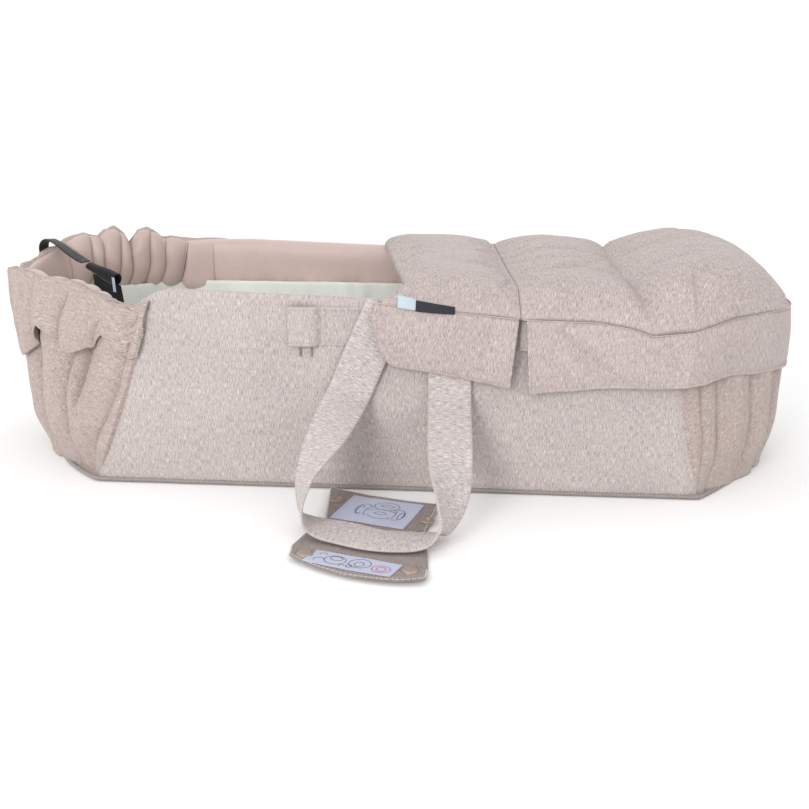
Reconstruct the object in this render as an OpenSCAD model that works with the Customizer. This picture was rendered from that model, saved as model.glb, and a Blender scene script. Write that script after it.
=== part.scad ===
// Soft carrycot for a baby: a flat-bottomed fabric nest with stiffened sides, gathered
// ends, a padded foot cover that folds back, and two carrying straps, one with a grip wrap.
// Millimetres. Origin: middle of the underside. +X to the foot end, -Y to the front, +Z up.

/* [Cot] */
// Half length of the straight side panels along the base
side_half = 285; // [265:1:300]
// Half width over the outside of the side panels
half_w = 143; // [138:1:148]
// Height of the side panels at the head
wall_h = 190; // [185:1:195]
// Height of the side panels under the foot cover
wall_h_low = 183; // [176:1:184]
// Reach of the head end from the middle, at the base
head_end = 388; // [375:1:400]
// Reach of the head end at its rim
head_rim_end = 403; // [395:1:415]
// Height of the head end's rim
head_rim_h = 206; // [195:1:212]
// Reach of the foot end from the middle
foot_end = 380; // [370:1:381]
// Height of the foot end's gathered fabric
foot_wall_h = 150; // [120:1:152]
// Mattress thickness
mattress_t = 25; // [15:1:35]

/* [Foot cover] */
// Half width over the cover's skirt
cover_half_w = 155; // [154.5:0.5:158]
// Reach of the cover from the middle
cover_end = 390; // [389:1:396]
// Height of the cover's flat top
cover_top = 203; // [201:1:212]
// Extra height of the hump over the feet
hump_h = 20; // [0:1:28]
// Height of the foot skirt's hem above the floor
hem_h = 104; // [85:1:115]
// Where the fold line crosses the middle
fold_x = 104; // [95:1:112]

/* [Carrying straps] */
// Strap width
strap_w = 38; // [30:1:40]
// Strap thickness
strap_t = 2.5; // [1.5:0.1:2.6]
// Height of the line about which a strap swings
swing_h = 100; // [96:1:101]

/* [Grip wrap] */
// Wrap fabric thickness
wrap_t = 2.5; // [1.5:0.1:2.6]
// Radius of a snap
snap_r = 6.5; // [4:0.5:7.5]

/* [Hidden] */
$fn = 48;

heather = [0.77, 0.70, 0.67];
tan_satin = [0.70, 0.58, 0.52];
off_white = [0.93, 0.94, 0.92];
board_grey = [0.55, 0.55, 0.56];
dark = [0.06, 0.06, 0.07];
label_grey = [0.86, 0.87, 0.89];
snap_tan = [0.62, 0.52, 0.46];

// Layers of the walls, as depths inward from the outside
fabric_t = 2.5;
gather_t = 3;
board_in = 2.6;
board_out = 5.6;
elastic_in = 3.2;
elastic_out = 4.6;
lining_in = 5;
lining_out = 9;
liner_in = 10;
liner_out = 12;
bumper_in = 6;
bumper_out = 18;
mattress_in = 16;

base_fabric_t = 2;
base_board_t = 4;
floor_z = base_fabric_t + base_board_t;
liner_top = 130;
bumper_low = 135;
head_lean = 0.31;
foot_lean = 0.17;
head_power = 2.3;
foot_power = 1.9;
bulge_h = 130;
steps = 20;

wrap_mid = [-10, -250];
wrap_turn = -17;
wrap_near = -47.5;
wrap_far = 13.3;
// One run of strap: leg on the head side, grip, leg on the foot side. Each station is
// [centre point, direction across the strap towards its inner edge].
strap_route = [
    [[-35, -146.8, swing_h], [0.93, 0, -0.36]],
    [[-43, -178, 85], [0.97, -0.13, -0.2]],
    [[-50, -206, 72], [0.95, -0.32, 0.04]],
    [[-58, -228, 58], [0.76, -0.58, 0.28]],
    [[-64, -241, 45], [0.53, -0.75, 0.41]],
    [[-66, -249, 31], [0.33, -0.83, 0.45]],
    [[-65, -254, 20], [0.17, -0.9, 0.36]],
    [[-57, -256, 12], [-0.05, -0.99, 0.14]],
    [[-43, -259, 8], [-0.22, -0.97, 0]],
    [[-27, -264, 7], [-0.32, -0.93, -0.04]],
    [[-11, -270, 6.5], [-0.3, -0.95, -0.04]],
    [[4, -274, 6], [-0.18, -0.98, -0.02]],
    [[19, -275.5, 6], [-0.02, -1, -0.02]],
    [[35, -275, 6.5], [0.14, -0.99, 0.03]],
    [[46, -272, 9], [0.15, -0.97, 0.18]],
    [[54, -269.5, 13], [0.05, -0.88, 0.44]],
    [[59, -265, 19], [-0.22, -0.72, 0.62]],
    [[62, -254, 31], [-0.57, -0.55, 0.6]],
    [[62, -236, 45], [-0.86, -0.32, 0.38]],
    [[60, -210, 61], [-0.98, -0.16, 0.12]],
    [[58, -180, 77], [-1, -0.07, 0]],
    [[56, -146.8, swing_h], [-1, 0, 0]]
];
grip_from = 8;
grip_to = 13;

// ---- End curves of the cot -------------------------------------------------------------
function head_side(z) = side_half - head_lean * z;
function foot_side(z) = side_half + 3 - foot_lean * z;
function head_reach(z) = head_end + (head_rim_end - head_end) * min(1, z / bulge_h);
function end_x(side, reach, power, t) = side + (reach - side) * (1 - pow(abs(t), power));
function head_pt(z, d, t) =
    [-end_x(head_side(z), head_reach(z) - d, head_power, t), (half_w - d) * t, z];
function foot_pt(z, d, t) =
    [end_x(foot_side(z), foot_end - d, foot_power, t), (half_w - d) * t, z];
function plan(z, d) = concat(
    [for (i = [0:2 * steps]) let (p = head_pt(z, d, 1 - i / steps)) [p[0], p[1]]],
    [for (i = [0:2 * steps]) let (p = foot_pt(z, d, i / steps - 1)) [p[0], p[1]]]);
function end_loop(zs, d0, d1, t, foot) = concat(
    [for (z = zs) foot ? foot_pt(z, d0, t) : head_pt(z, d0, t)],
    [for (i = [len(zs) - 1:-1:0]) foot ? foot_pt(zs[i], d1, t) : head_pt(zs[i], d1, t)]);

// ---- Closed solid through a row of equal loops of points -------------------------------
// From the point numbered other_from on, the sides are cut along their other diagonal.
module loft(loops, flip = false, other_from = 10000) {
    n = len(loops[0]);
    m = len(loops);
    points = [for (l = loops) for (p = l) p];
    sides = [
        for (i = [0:m - 2])
            for (j = [0:n - 1])
                let (a = i * n + j, b = i * n + (j + 1) % n)
                    for (f = j < other_from
                            ? [[a, b, b + n], [a, b + n, a + n]]
                            : [[a, b, a + n], [b, b + n, a + n]]) f
    ];
    first = [for (j = [n - 1:-1:0]) j];
    last = [for (j = [0:n - 1]) (m - 1) * n + j];
    faces = concat([first], sides, [last]);
    turned = [for (f = faces) [for (k = [len(f) - 1:-1:0]) f[k]]];
    polyhedron(points, flip ? turned : faces, convexity = 8);
}

module end_shell(zs, d0, d1, foot = false) {
    loft([for (i = [-steps:steps]) end_loop(zs, d0, d1, i / steps, foot)], !foot);
}

// A plate standing in the X-Z plane, between two depths of the front or rear wall
module upright(outline, d0, d1, rear = false) {
    low = rear ? half_w - d1 : -half_w + d0;
    translate([0, low + (d1 - d0), 0])
        rotate([90, 0, 0])
            linear_extrude(d1 - d0)
                polygon(outline);
}

function side_outline(z0, inset, drop) = [
    [-head_side(z0) + inset, z0],
    [foot_side(z0) - inset, z0],
    [foot_side(wall_h_low - drop) - inset, wall_h_low - drop],
    [-17, wall_h_low - drop],
    [-head_side(wall_h - drop) + inset, wall_h - drop]
];

// ---- Base ------------------------------------------------------------------------------
module base_fabric() {
    color(heather) linear_extrude(base_fabric_t) polygon(plan(0, 0));
}

module base_board() {
    color(board_grey)
        translate([0, 0, base_fabric_t])
            linear_extrude(base_board_t)
                polygon(plan(floor_z, gather_t + 0.5));
}

module base_piping() {
    piping_r = 2;
    piping_gap = 0.7;
    color([0.55, 0.50, 0.50])
        translate([0, 0, 0.5])
            linear_extrude(2 * piping_r)
                difference() {
                    polygon(plan(0, -piping_r - piping_gap));
                    polygon(plan(0, -piping_gap));
                }
}

module mattress() {
    color(off_white)
        translate([0, 0, floor_z])
            linear_extrude(mattress_t)
                polygon(plan(floor_z + mattress_t, mattress_in));
}

module inner_liner() {
    low = floor_z;
    gap = 0.3;
    color(off_white) {
        end_shell([low, 68, liner_top], liner_in, liner_out);
        end_shell([low, 68, liner_top], liner_in, liner_out, true);
        for (rear = [false, true])
            upright([
                [gap - head_side(low), low],
                [foot_side(low) - gap, low],
                [foot_side(liner_top) - gap, liner_top],
                [gap - head_side(liner_top), liner_top]
            ], liner_in, liner_out, rear);
    }
}

// ---- Side walls ------------------------------------------------------------------------
module side_panel(rear) {
    color(heather) upright(side_outline(base_fabric_t, 0, 0), 0, fabric_t, rear);
}

module side_board(rear) {
    color(board_grey) upright(side_outline(floor_z, 6, 3), board_in, board_out, rear);
}

module bumper(rear) {
    head_top = rear ? wall_h : wall_h - 4;
    low_top = wall_h_low - 3;
    color(tan_satin)
        upright([
            [-head_side(wall_h) + 4, bumper_low],
            [foot_side(wall_h_low) - 8, bumper_low],
            [foot_side(wall_h_low) - 8, low_top],
            [rear ? -44 : -17, low_top],
            [rear ? -60 : -30, head_top - 2],
            [-head_side(wall_h) + 4, head_top]
        ], bumper_in, bumper_out, rear);
}

module front_side_panel() { side_panel(false); }
module rear_side_panel() { side_panel(true); }
module front_side_board() { side_board(false); }
module rear_side_board() { side_board(true); }
module front_bumper() { bumper(false); }
module rear_bumper() { bumper(true); }

// ---- Gathered ends ---------------------------------------------------------------------
module head_gather() {
    color(heather) end_shell([base_fabric_t, 40, 80, bulge_h, head_rim_h], 0, gather_t);
}

module head_elastic() {
    color(dark) end_shell([head_rim_h - 14, head_rim_h - 6], elastic_in, elastic_out);
}

module head_lining() {
    color(tan_satin) end_shell([60, bulge_h, head_rim_h - 1], lining_in, lining_out);
}

module foot_gather() {
    color(heather) end_shell([base_fabric_t, 50, foot_wall_h], 0, gather_t, true);
}

module foot_elastic() {
    color(dark) end_shell([foot_wall_h - 12, foot_wall_h - 5], elastic_in, elastic_out, true);
}

module foot_lining() {
    color(tan_satin) end_shell([60, foot_wall_h - 1], lining_in, lining_out, true);
}

// ---- Belt loops: a band sewn flat, with one end raised so that a strap passes under -----
loop_low = 140;
loop_high = 176;
loop_gap = 5;
band_t = 2;
module belt_loop(flat_end, raised_end, rear) {
    s = sign(raised_end - flat_end);
    knee = raised_end - s * 30;
    top = band_t + loop_gap;
    mirror([0, rear ? 1 : 0, 0])
        translate([0, -half_w, loop_low])
            color(heather)
                linear_extrude(loop_high - loop_low)
                    polygon([
                        [flat_end, 0], [flat_end, -band_t], [knee, -band_t],
                        [knee + s * 4, -top], [raised_end - s * 4, -top],
                        [raised_end, -band_t], [raised_end, 0], [raised_end - s * 0.8, 0],
                        [raised_end - s * 4.8, -loop_gap], [knee + s * 4.8, -loop_gap],
                        [knee + s * 0.8, 0]
                    ]);
}

module front_belt_loop_left() { belt_loop(-21, -94, false); }
module front_belt_loop_right() { belt_loop(76, 147, false); }
module rear_belt_loop_left() { belt_loop(-21, -94, true); }
module rear_belt_loop_right() { belt_loop(76, 147, true); }

// ---- Carrying straps -------------------------------------------------------------------
function unit(v) = v / norm(v);
function strap_loops(from, to, sink) = [
    for (i = [from:to])
        let (
            last = len(strap_route) - 1,
            here = strap_route[i][0],
            run = strap_route[min(i + 1, last)][0] - strap_route[max(i - 1, 0)][0],
            at_swing = abs(here[2] - swing_h) < 0.01,
            along = at_swing ? [0, 0, run[2]] : run,
            t = unit(along),
            w0 = strap_route[i][1],
            w = unit(w0 - (w0 * t) * t),
            n = cross(t, w),
            p = here - [0, 0, sink * (1 - here[2] / swing_h)],
            a = w * strap_w / 2,
            b = n * strap_t / 2
        )
        [p + a + b, p + a - b, p - a - b, p - a + b]
];

module strap(from, to, rear = false) {
    sink = rear ? 3 : 0;
    mirror([0, rear ? 1 : 0, 0])
        color(heather)
            loft(strap_loops(from, to, sink));
}

root_low = swing_h + 2.8;
root_back = 2;
strap_end = len(strap_route) - 1;
module strap_roots(rear) {
    mirror([0, rear ? 1 : 0, 0])
        translate([0, -half_w - root_back, 0])
            rotate([90, 0, 0])
                color(heather)
                    linear_extrude(strap_t) {
                        polygon([[-54, root_low], [-16, root_low], [18, loop_high], [-20, loop_high]]);
                        polygon([[37, root_low], [75, root_low], [73, loop_high], [35, loop_high]]);
                    }
}

module front_strap_roots() { strap_roots(false); }
module rear_strap_roots() { strap_roots(true); }
module front_strap_left() { strap(0, grip_from); }
module front_strap_grip() { strap(grip_from, grip_to); }
module front_strap_right() { strap(grip_to, strap_end); }
module rear_strap_left() { strap(0, grip_from, true); }
module rear_strap_grip() { strap(grip_from, grip_to, true); }
module rear_strap_right() { strap(grip_to, strap_end, true); }

// ---- Grip wrap, lying open under the front strap ---------------------------------------
fold_gap = 0.2;
function wrap_at(along, across) = [
    wrap_mid[0] + along * cos(wrap_turn) - across * sin(wrap_turn),
    wrap_mid[1] + along * sin(wrap_turn) + across * cos(wrap_turn)
];

module wrap_centre() {
    near = wrap_near + fold_gap;
    far = wrap_far - fold_gap;
    color(heather)
        linear_extrude(wrap_t)
            polygon([wrap_at(-46, near), wrap_at(74, near), wrap_at(50, far), wrap_at(-48, far)]);
}

module wrap_near_flap() {
    edge = wrap_near - fold_gap;
    color(heather)
        linear_extrude(wrap_t)
            polygon([wrap_at(-46, edge), [-71, -304], [-56, -314], [-12, -337], [12, -343],
                     [46, -342], wrap_at(74, edge)]);
}

module wrap_far_flap() {
    edge = wrap_far + fold_gap;
    color(heather)
        linear_extrude(wrap_t)
            polygon([wrap_at(-44, edge), wrap_at(47, edge), [47, -191], [-5, -174], [-53, -158]]);
}

cap_spots = [[-54, -302], [34, -324]];
socket_spots = [[-45, -184], [41, -224]];
module wrap_snap_caps() {
    color(snap_tan)
        for (p = cap_spots)
            translate([p[0], p[1], wrap_t])
                union() {
                    cylinder(r = snap_r, h = 1.6);
                    translate([0, 0, 1.6]) cylinder(r1 = snap_r, r2 = snap_r - 2, h = 1.2);
                }
}

module wrap_snap_sockets() {
    color(snap_tan)
        for (p = socket_spots)
            translate([p[0], p[1], wrap_t])
                difference() {
                    cylinder(r = snap_r, h = 1.8);
                    translate([0, 0, 0.6]) cylinder(r = snap_r / 2, h = 2);
                }
}

label_t = 0.4;
module wrap_label(along, across, w, d) {
    color(label_grey)
        translate([wrap_at(along, across)[0], wrap_at(along, across)[1], wrap_t])
            rotate([0, 0, wrap_turn])
                translate([-w / 2, -d / 2, 0])
                    cube([w, d, label_t]);
}

module wrap_near_label() { wrap_label(18, -62, 74, 24); }
module wrap_far_label() { wrap_label(-8, 42, 70, 50); }

// ---- Foot cover ------------------------------------------------------------------------
cover_side = 270;
fold_slope = -0.0962;
seam_gap = 0.4;
layer_a = 3;
layer_b = 8;
layer_c = 9.5;
skirt_t = 3;
flap_hem_head = 125;
flap_hem_fold = 106;
hump_x = 298;
hump_len = 48;
roll_drop = 14;
tip_drop = 28;
tip_from = 335;

function fold_at(y) = fold_x + fold_slope * y;
function head_edge(y) = y < -121 ? 13 - 22 * pow((-121 - y) / 34, 1.5) : 13 - 0.178 * (y + 121);
function rim_part(x, y) =
    pow(abs(y) / cover_half_w, foot_power) + max(0, (x - cover_side) / (cover_end - cover_side));
function cover_z(x, y) = cover_top
    + hump_h * exp(-pow((x - hump_x) / hump_len, 2)) * (1 - 0.35 * pow(y / cover_half_w, 2))
    - tip_drop * pow(max(0, (x - tip_from) / (cover_end - tip_from)), 2)
    - roll_drop * pow(max(0, (rim_part(x, y) - 0.75) / 0.25), 2);
function cover_reach(y) =
    end_x(cover_side, cover_end, foot_power, y / cover_half_w);

// Layer of the cover between two depths under its top, from one edge to the other
module cover_layer(foot, d0, d1) {
    ny = foot ? 24 : 16;
    nx = foot ? 12 : 8;
    loft([
        for (j = [0:ny])
            let (
                y = cover_half_w * (2 * j / ny - 1),
                x0 = foot ? fold_at(y) + seam_gap : head_edge(y),
                x1 = foot ? cover_reach(y) : fold_at(y) - seam_gap
            )
            concat(
                [for (i = [0:nx]) let (x = x0 + (x1 - x0) * i / nx) [x, y, cover_z(x, y) - d0]],
                [for (i = [nx:-1:0]) let (x = x0 + (x1 - x0) * i / nx) [x, y, cover_z(x, y) - d1]]
            )
    ], true, nx + 1);
}

module cover_foot_top() { color(heather) cover_layer(true, 0, layer_a); }
module cover_foot_wadding() { color(off_white) cover_layer(true, layer_a, layer_b); }
module cover_foot_lining() { color(heather) cover_layer(true, layer_b, layer_c); }
module cover_flap_top() { color(heather) cover_layer(false, 0, layer_a); }
module cover_flap_wadding() { color(off_white) cover_layer(false, layer_a, layer_b); }
module cover_flap_lining() { color(heather) cover_layer(false, layer_b, layer_c); }

function skirt_xy(s, inset) =
    let (w = cover_half_w - inset, reach = cover_end - inset)
        s < -1 ? [cover_side + (s + 1) * 100, -w]
        : s > 1 ? [cover_side - (s - 1) * 100, w]
        : [end_x(cover_side, reach, foot_power, s), w * s];

module cover_foot_skirt() {
    front_s = -1 - (cover_side - fold_at(-cover_half_w) - 3) / 100;
    rear_s = 1 + (cover_side - fold_at(cover_half_w) - 3) / 100;
    bends = 16;
    stations = concat(
        [for (i = [0:3]) front_s + (-1 - front_s) * i / 4],
        [for (i = [-bends:bends]) i / bends],
        [for (i = [1:4]) 1 + (rear_s - 1) * i / 4]);
    color(heather)
        loft([
            for (s = stations)
                let (
                    a = skirt_xy(s, 0),
                    b = skirt_xy(s, skirt_t),
                    top = cover_z(a[0], a[1]) - layer_c - 0.6
                )
                [[a[0], a[1], hem_h], [a[0], a[1], top], [b[0], b[1], top], [b[0], b[1], hem_h]]
        ]);
}

// Each station is [x at the hem, height of the hem, x at the top]
skirt_top = cover_top - roll_drop - layer_c - 0.4;
module flap_skirt(stations, flare, rear) {
    first = stations[0][0];
    reach = stations[len(stations) - 1][0] - first;
    mirror([0, rear ? 1 : 0, 0])
        color(heather)
            loft([
                for (s = stations)
                    let (
                        out = cover_half_w + flare * (s[0] - first) / reach,
                        top = cover_half_w
                    )
                    [[s[0], -out, s[1]], [s[2], -top, skirt_top],
                     [s[2], skirt_t - top, skirt_top], [s[0], skirt_t - out, s[1]]]
            ]);
}

module cover_flap_skirt_front() {
    slit_x = fold_at(-cover_half_w);
    flap_skirt([[-10, 134, -9], [-5, 127, -6], [4, flap_hem_head, 4], [47, 119, 47],
                [slit_x - 7, flap_hem_fold, slit_x - 2]], 0, false);
}

module cover_flap_skirt_rear() {
    slit_x = fold_at(cover_half_w);
    flap_skirt([[-36, 134, -35], [-31, 127, -32], [-22, flap_hem_head, -22], [20, 119, 20],
                [slit_x - 7, flap_hem_fold, slit_x - 2]], 6, true);
}

module slit_elastics() {
    for (s = [-1, 1])
        color(dark)
            translate([fold_at(s * cover_half_w) - 4, s * 151 - 0.7, 177.2])
                cube([14, 1.4, 4]);
}

module tag_light() {
    color(label_grey) translate([9, -cover_half_w - 1, 178]) cube([16, 1, 12]);
}

module tag_dark() {
    color(dark) translate([25, -cover_half_w - 1, 175]) cube([35, 1, 10.5]);
}

// ---- Tether at the head end ------------------------------------------------------------
tether_pin = [-338, 12, 184];
module tether_webbing() {
    route = [
        [-406.5, 52, 196], [-407.5, 51.5, 206], [-404, 50.5, 212], [-396, 48, 212.5],
        [-382, 41, 206], [-366, 31, 198], [-343, 17, 188.5]
    ];
    half = 6;
    thick = 1.2;
    across = unit([0.5, 1, 0]);
    last = len(route) - 1;
    color(dark)
        loft([
            for (i = [0:last])
                let (
                    run = unit(route[min(i + 1, last)] - route[max(i - 1, 0)]),
                    side = unit(across - (across * run) * run),
                    up = cross(run, side) * thick / 2,
                    p = route[i],
                    a = half * side
                )
                [p + a + up, p + a - up, p - a - up, p - a + up]
        ]);
}

module tether_sleeve() {
    color(dark)
        translate(tether_pin + [4, -2, -3])
            rotate([0, 0, -25])
                rotate([0, 108, 0])
                    cylinder(r = 7, h = 38);
}

module tether_flap() {
    color(dark)
        translate([tether_pin[0] + 8, tether_pin[1] - 4, tether_pin[2] - 50])
            rotate([0, 0, -25])
                cube([32, 1.6, 27]);
}

module tether_label() {
    color(label_grey)
        translate([tether_pin[0] + 37.4, tether_pin[1] - 17.7, tether_pin[2] - 46])
            rotate([0, 0, -25])
                cube([4, 0.8, 14]);
}

base_fabric();
base_board();
base_piping();
mattress();
inner_liner();
front_side_panel();
rear_side_panel();
front_side_board();
rear_side_board();
front_bumper();
rear_bumper();
head_gather();
head_elastic();
head_lining();
foot_gather();
foot_elastic();
foot_lining();
front_belt_loop_left();
front_belt_loop_right();
rear_belt_loop_left();
rear_belt_loop_right();
front_strap_roots();
rear_strap_roots();
tether_webbing();
tether_sleeve();
tether_flap();
tether_label();
cover_foot_top();
cover_foot_wadding();
cover_foot_lining();
cover_foot_skirt();
slit_elastics();
cover_flap_top();
cover_flap_wadding();
cover_flap_lining();
cover_flap_skirt_front();
cover_flap_skirt_rear();
tag_light();
tag_dark();
front_strap_left();
front_strap_grip();
front_strap_right();
wrap_centre();
wrap_near_flap();
wrap_snap_caps();
wrap_near_label();
wrap_far_flap();
wrap_snap_sockets();
wrap_far_label();
rear_strap_left();
rear_strap_grip();
rear_strap_right();
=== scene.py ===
import math

import bpy
import numpy as np
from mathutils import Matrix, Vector


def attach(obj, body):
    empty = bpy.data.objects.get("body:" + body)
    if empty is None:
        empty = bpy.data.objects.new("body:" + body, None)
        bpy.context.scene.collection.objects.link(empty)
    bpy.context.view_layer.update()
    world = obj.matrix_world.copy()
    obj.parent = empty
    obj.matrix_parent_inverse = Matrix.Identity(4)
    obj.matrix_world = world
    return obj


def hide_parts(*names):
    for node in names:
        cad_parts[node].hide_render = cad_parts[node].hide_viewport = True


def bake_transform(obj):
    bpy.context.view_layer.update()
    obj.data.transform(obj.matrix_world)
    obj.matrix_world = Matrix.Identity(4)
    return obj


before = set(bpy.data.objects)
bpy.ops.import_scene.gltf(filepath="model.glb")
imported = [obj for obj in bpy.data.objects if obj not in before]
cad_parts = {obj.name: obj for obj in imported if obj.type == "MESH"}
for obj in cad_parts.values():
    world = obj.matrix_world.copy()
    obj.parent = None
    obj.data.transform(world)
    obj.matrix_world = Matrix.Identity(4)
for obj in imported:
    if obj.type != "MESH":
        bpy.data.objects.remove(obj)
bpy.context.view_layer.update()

# Lengths below are millimetres in the CAD frame; make() turns them into metres.
MM = 0.001
PI = math.pi
scene = bpy.context.scene

# ---- Sizes shared with the CAD model ----------------------------------------------------
HALF_W = 143.0
COVER_HALF_W = 155.0
COVER_END = 390.0
COVER_SIDE = 270.0
COVER_TOP = 203.0
HUMP_X = 298.0
STRAP_W = 38.0
STRAP_T = 2.5
SWING_Z = 100.0


# ---- Camera, light and floor ------------------------------------------------------------
def aim(obj, place, target):
    obj.location = Vector(place)
    obj.rotation_mode = "QUATERNION"
    obj.rotation_quaternion = (Vector(target) - Vector(place)).to_track_quat("-Z", "Y")


camera_data = bpy.data.cameras.new("camera")
camera_data.lens = 47.41
camera_data.sensor_width = 36.0
camera = bpy.data.objects.new("camera", camera_data)
scene.collection.objects.link(camera)
aim(camera, (0.09453, -1.08625, 0.37449), (0.0020, 0.0, 0.0412))
scene.camera = camera
scene.view_settings.view_transform = "Standard"

world = bpy.data.worlds.new("studio")
world.use_nodes = True
world.node_tree.nodes["Background"].inputs["Color"].default_value = (1.0, 1.0, 1.0, 1.0)
world.node_tree.nodes["Background"].inputs["Strength"].default_value = 1.07
scene.world = world


def area_light(name, place, target, size, power, colour):
    data = bpy.data.lights.new(name, "AREA")
    data.shape = "DISK"
    data.size = size
    data.energy = power
    data.color = colour
    lamp = bpy.data.objects.new(name, data)
    scene.collection.objects.link(lamp)
    aim(lamp, place, target)


area_light("key", (-0.9, -2.3, 1.05), (0.0, 0.0, 0.1), 1.0, 27.0, (1.0, 0.99, 0.98))
area_light("fill", (1.4, -1.9, 0.9), (0.0, 0.0, 0.1), 1.6, 2.8, (0.95, 0.97, 1.0))
area_light("top", (0.2, 0.5, 2.2), (0.0, 0.0, 0.1), 1.4, 1.0, (1.0, 0.99, 0.97))


# ---- Numbers ----------------------------------------------------------------------------
def ease(low, high, x):
    t = np.clip((x - low) / (high - low), 0.0, 1.0)
    return t * t * (3.0 - 2.0 * t)


def value_noise(u, v, seed):
    table = np.random.RandomState(seed).uniform(-1.0, 1.0, (64, 64))
    u, v = np.broadcast_arrays(np.asarray(u, float), np.asarray(v, float))
    i, j = np.floor(u).astype(int), np.floor(v).astype(int)
    a, b = u - i, v - j
    a, b = a * a * (3 - 2 * a), b * b * (3 - 2 * b)
    low = table[i % 64, j % 64] * (1 - a) + table[(i + 1) % 64, j % 64] * a
    high = table[i % 64, (j + 1) % 64] * (1 - a) + table[(i + 1) % 64, (j + 1) % 64] * a
    return low * (1 - b) + high * b


def unit(v):
    return v / np.maximum(np.linalg.norm(v, axis=-1, keepdims=True), 1e-9)


def bump_curve(x, centre, width):
    return np.exp(-(((x - centre) / width) ** 2))


def pleats(q, knots, power=0.7, full=0.12):
    """Pillowed folds between the knots: 0 in each crease, up to 1 on the crown of a wide fold."""
    knots = np.asarray(knots, float)
    i = np.clip(np.searchsorted(knots, q) - 1, 0, len(knots) - 2)
    width = knots[i + 1] - knots[i]
    part = np.clip((q - knots[i]) / width, 0.0, 1.0)
    return np.sin(PI * part) ** power * np.minimum(1.0, width / full)


def stack(*parts):
    return np.stack(np.broadcast_arrays(*parts), axis=-1).astype(float)


def resample(path, step):
    """The points at an even step along a polyline, and the direction at each."""
    path = np.asarray(path, float)
    run = np.concatenate([[0.0], np.cumsum(np.linalg.norm(np.diff(path, axis=0), axis=1))])
    count = max(2, int(round(run[-1] / step)))
    at = np.linspace(0.0, run[-1], count)
    points = np.stack([np.interp(at, run, path[:, k]) for k in range(3)], axis=1)
    return points, unit(np.gradient(points, axis=0))


def spline(path, count):
    """A smooth curve through the points of a route (Catmull-Rom), any number of columns."""
    p = np.asarray(path, float)
    p = np.vstack([2 * p[0] - p[1], p, 2 * p[-1] - p[-2]])
    at = np.linspace(0.0, len(p) - 3 - 1e-9, count)
    i = at.astype(int)
    t = (at - i)[:, None]
    a, b, c, d = p[i], p[i + 1], p[i + 2], p[i + 3]
    return 0.5 * (2 * b + (c - a) * t + (2 * a - 5 * b + 4 * c - d) * t**2 + (3 * b - a - 3 * c + d) * t**3)


# ---- Mesh making ------------------------------------------------------------------------
def make(name, points, faces, material, weave=None, body=None, slot=None, nodes=()):
    """A smooth mesh piece; weave is the yarn coordinates of each point, in metres."""
    mesh = bpy.data.meshes.new(name)
    mesh.from_pydata((np.asarray(points) * MM).tolist(), [], [list(map(int, f)) for f in faces])
    mesh.polygons.foreach_set("use_smooth", [True] * len(mesh.polygons))
    corner = np.zeros(len(mesh.loops), int)
    mesh.loops.foreach_get("vertex_index", corner)
    if weave is None:
        p = np.asarray(points) * MM
        weave = np.stack([p[:, 0] + p[:, 1] * 0.3, p[:, 2] + p[:, 1] * 0.8], axis=1)
    layer = mesh.uv_layers.new(name="weave")
    layer.data.foreach_set("uv", np.asarray(weave, np.float32)[corner].ravel())
    mesh.materials.append(material)
    mesh.validate()
    obj = bpy.data.objects.new(name, mesh)
    scene.collection.objects.link(obj)
    if nodes:
        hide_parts(*nodes)
    if body:
        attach(obj, body)
    return obj


def quads(rows, columns):
    i, j = np.meshgrid(np.arange(rows - 1), np.arange(columns - 1), indexing="ij")
    a = (i * columns + j).ravel()
    return np.stack([a, a + columns, a + columns + 1, a + 1], axis=1)


def rim_of(rows, columns):
    """Indices round the border of a grid, and of the point one step inside each."""
    ring = (
        [(i, 0) for i in range(rows)]
        + [(rows - 1, j) for j in range(1, columns)]
        + [(i, columns - 1) for i in range(rows - 2, -1, -1)]
        + [(0, j) for j in range(columns - 2, 0, -1)]
    )
    inner = [(min(max(i, 1), rows - 2), min(max(j, 1), columns - 2)) for i, j in ring]
    return (np.array([i * columns + j for i, j in k]) for k in (ring, inner))


def surface_normals(grid):
    return unit(np.cross(np.gradient(grid, axis=0), np.gradient(grid, axis=1)))


def yarn_map(grid, turn=0.0):
    """Arc lengths along both ways of a grid, in metres, turned by an angle."""
    out = []
    for axis in (0, 1):
        step = np.linalg.norm(np.diff(grid, axis=axis), axis=2)
        run = np.cumsum(step, axis=axis)
        pad = np.zeros_like(np.take(run, [0], axis=axis))
        out.append(np.concatenate([pad, run], axis=axis) * MM)
    c, s = math.cos(turn), math.sin(turn)
    return np.stack([out[0] * c - out[1] * s, out[0] * s + out[1] * c], axis=-1)


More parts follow.
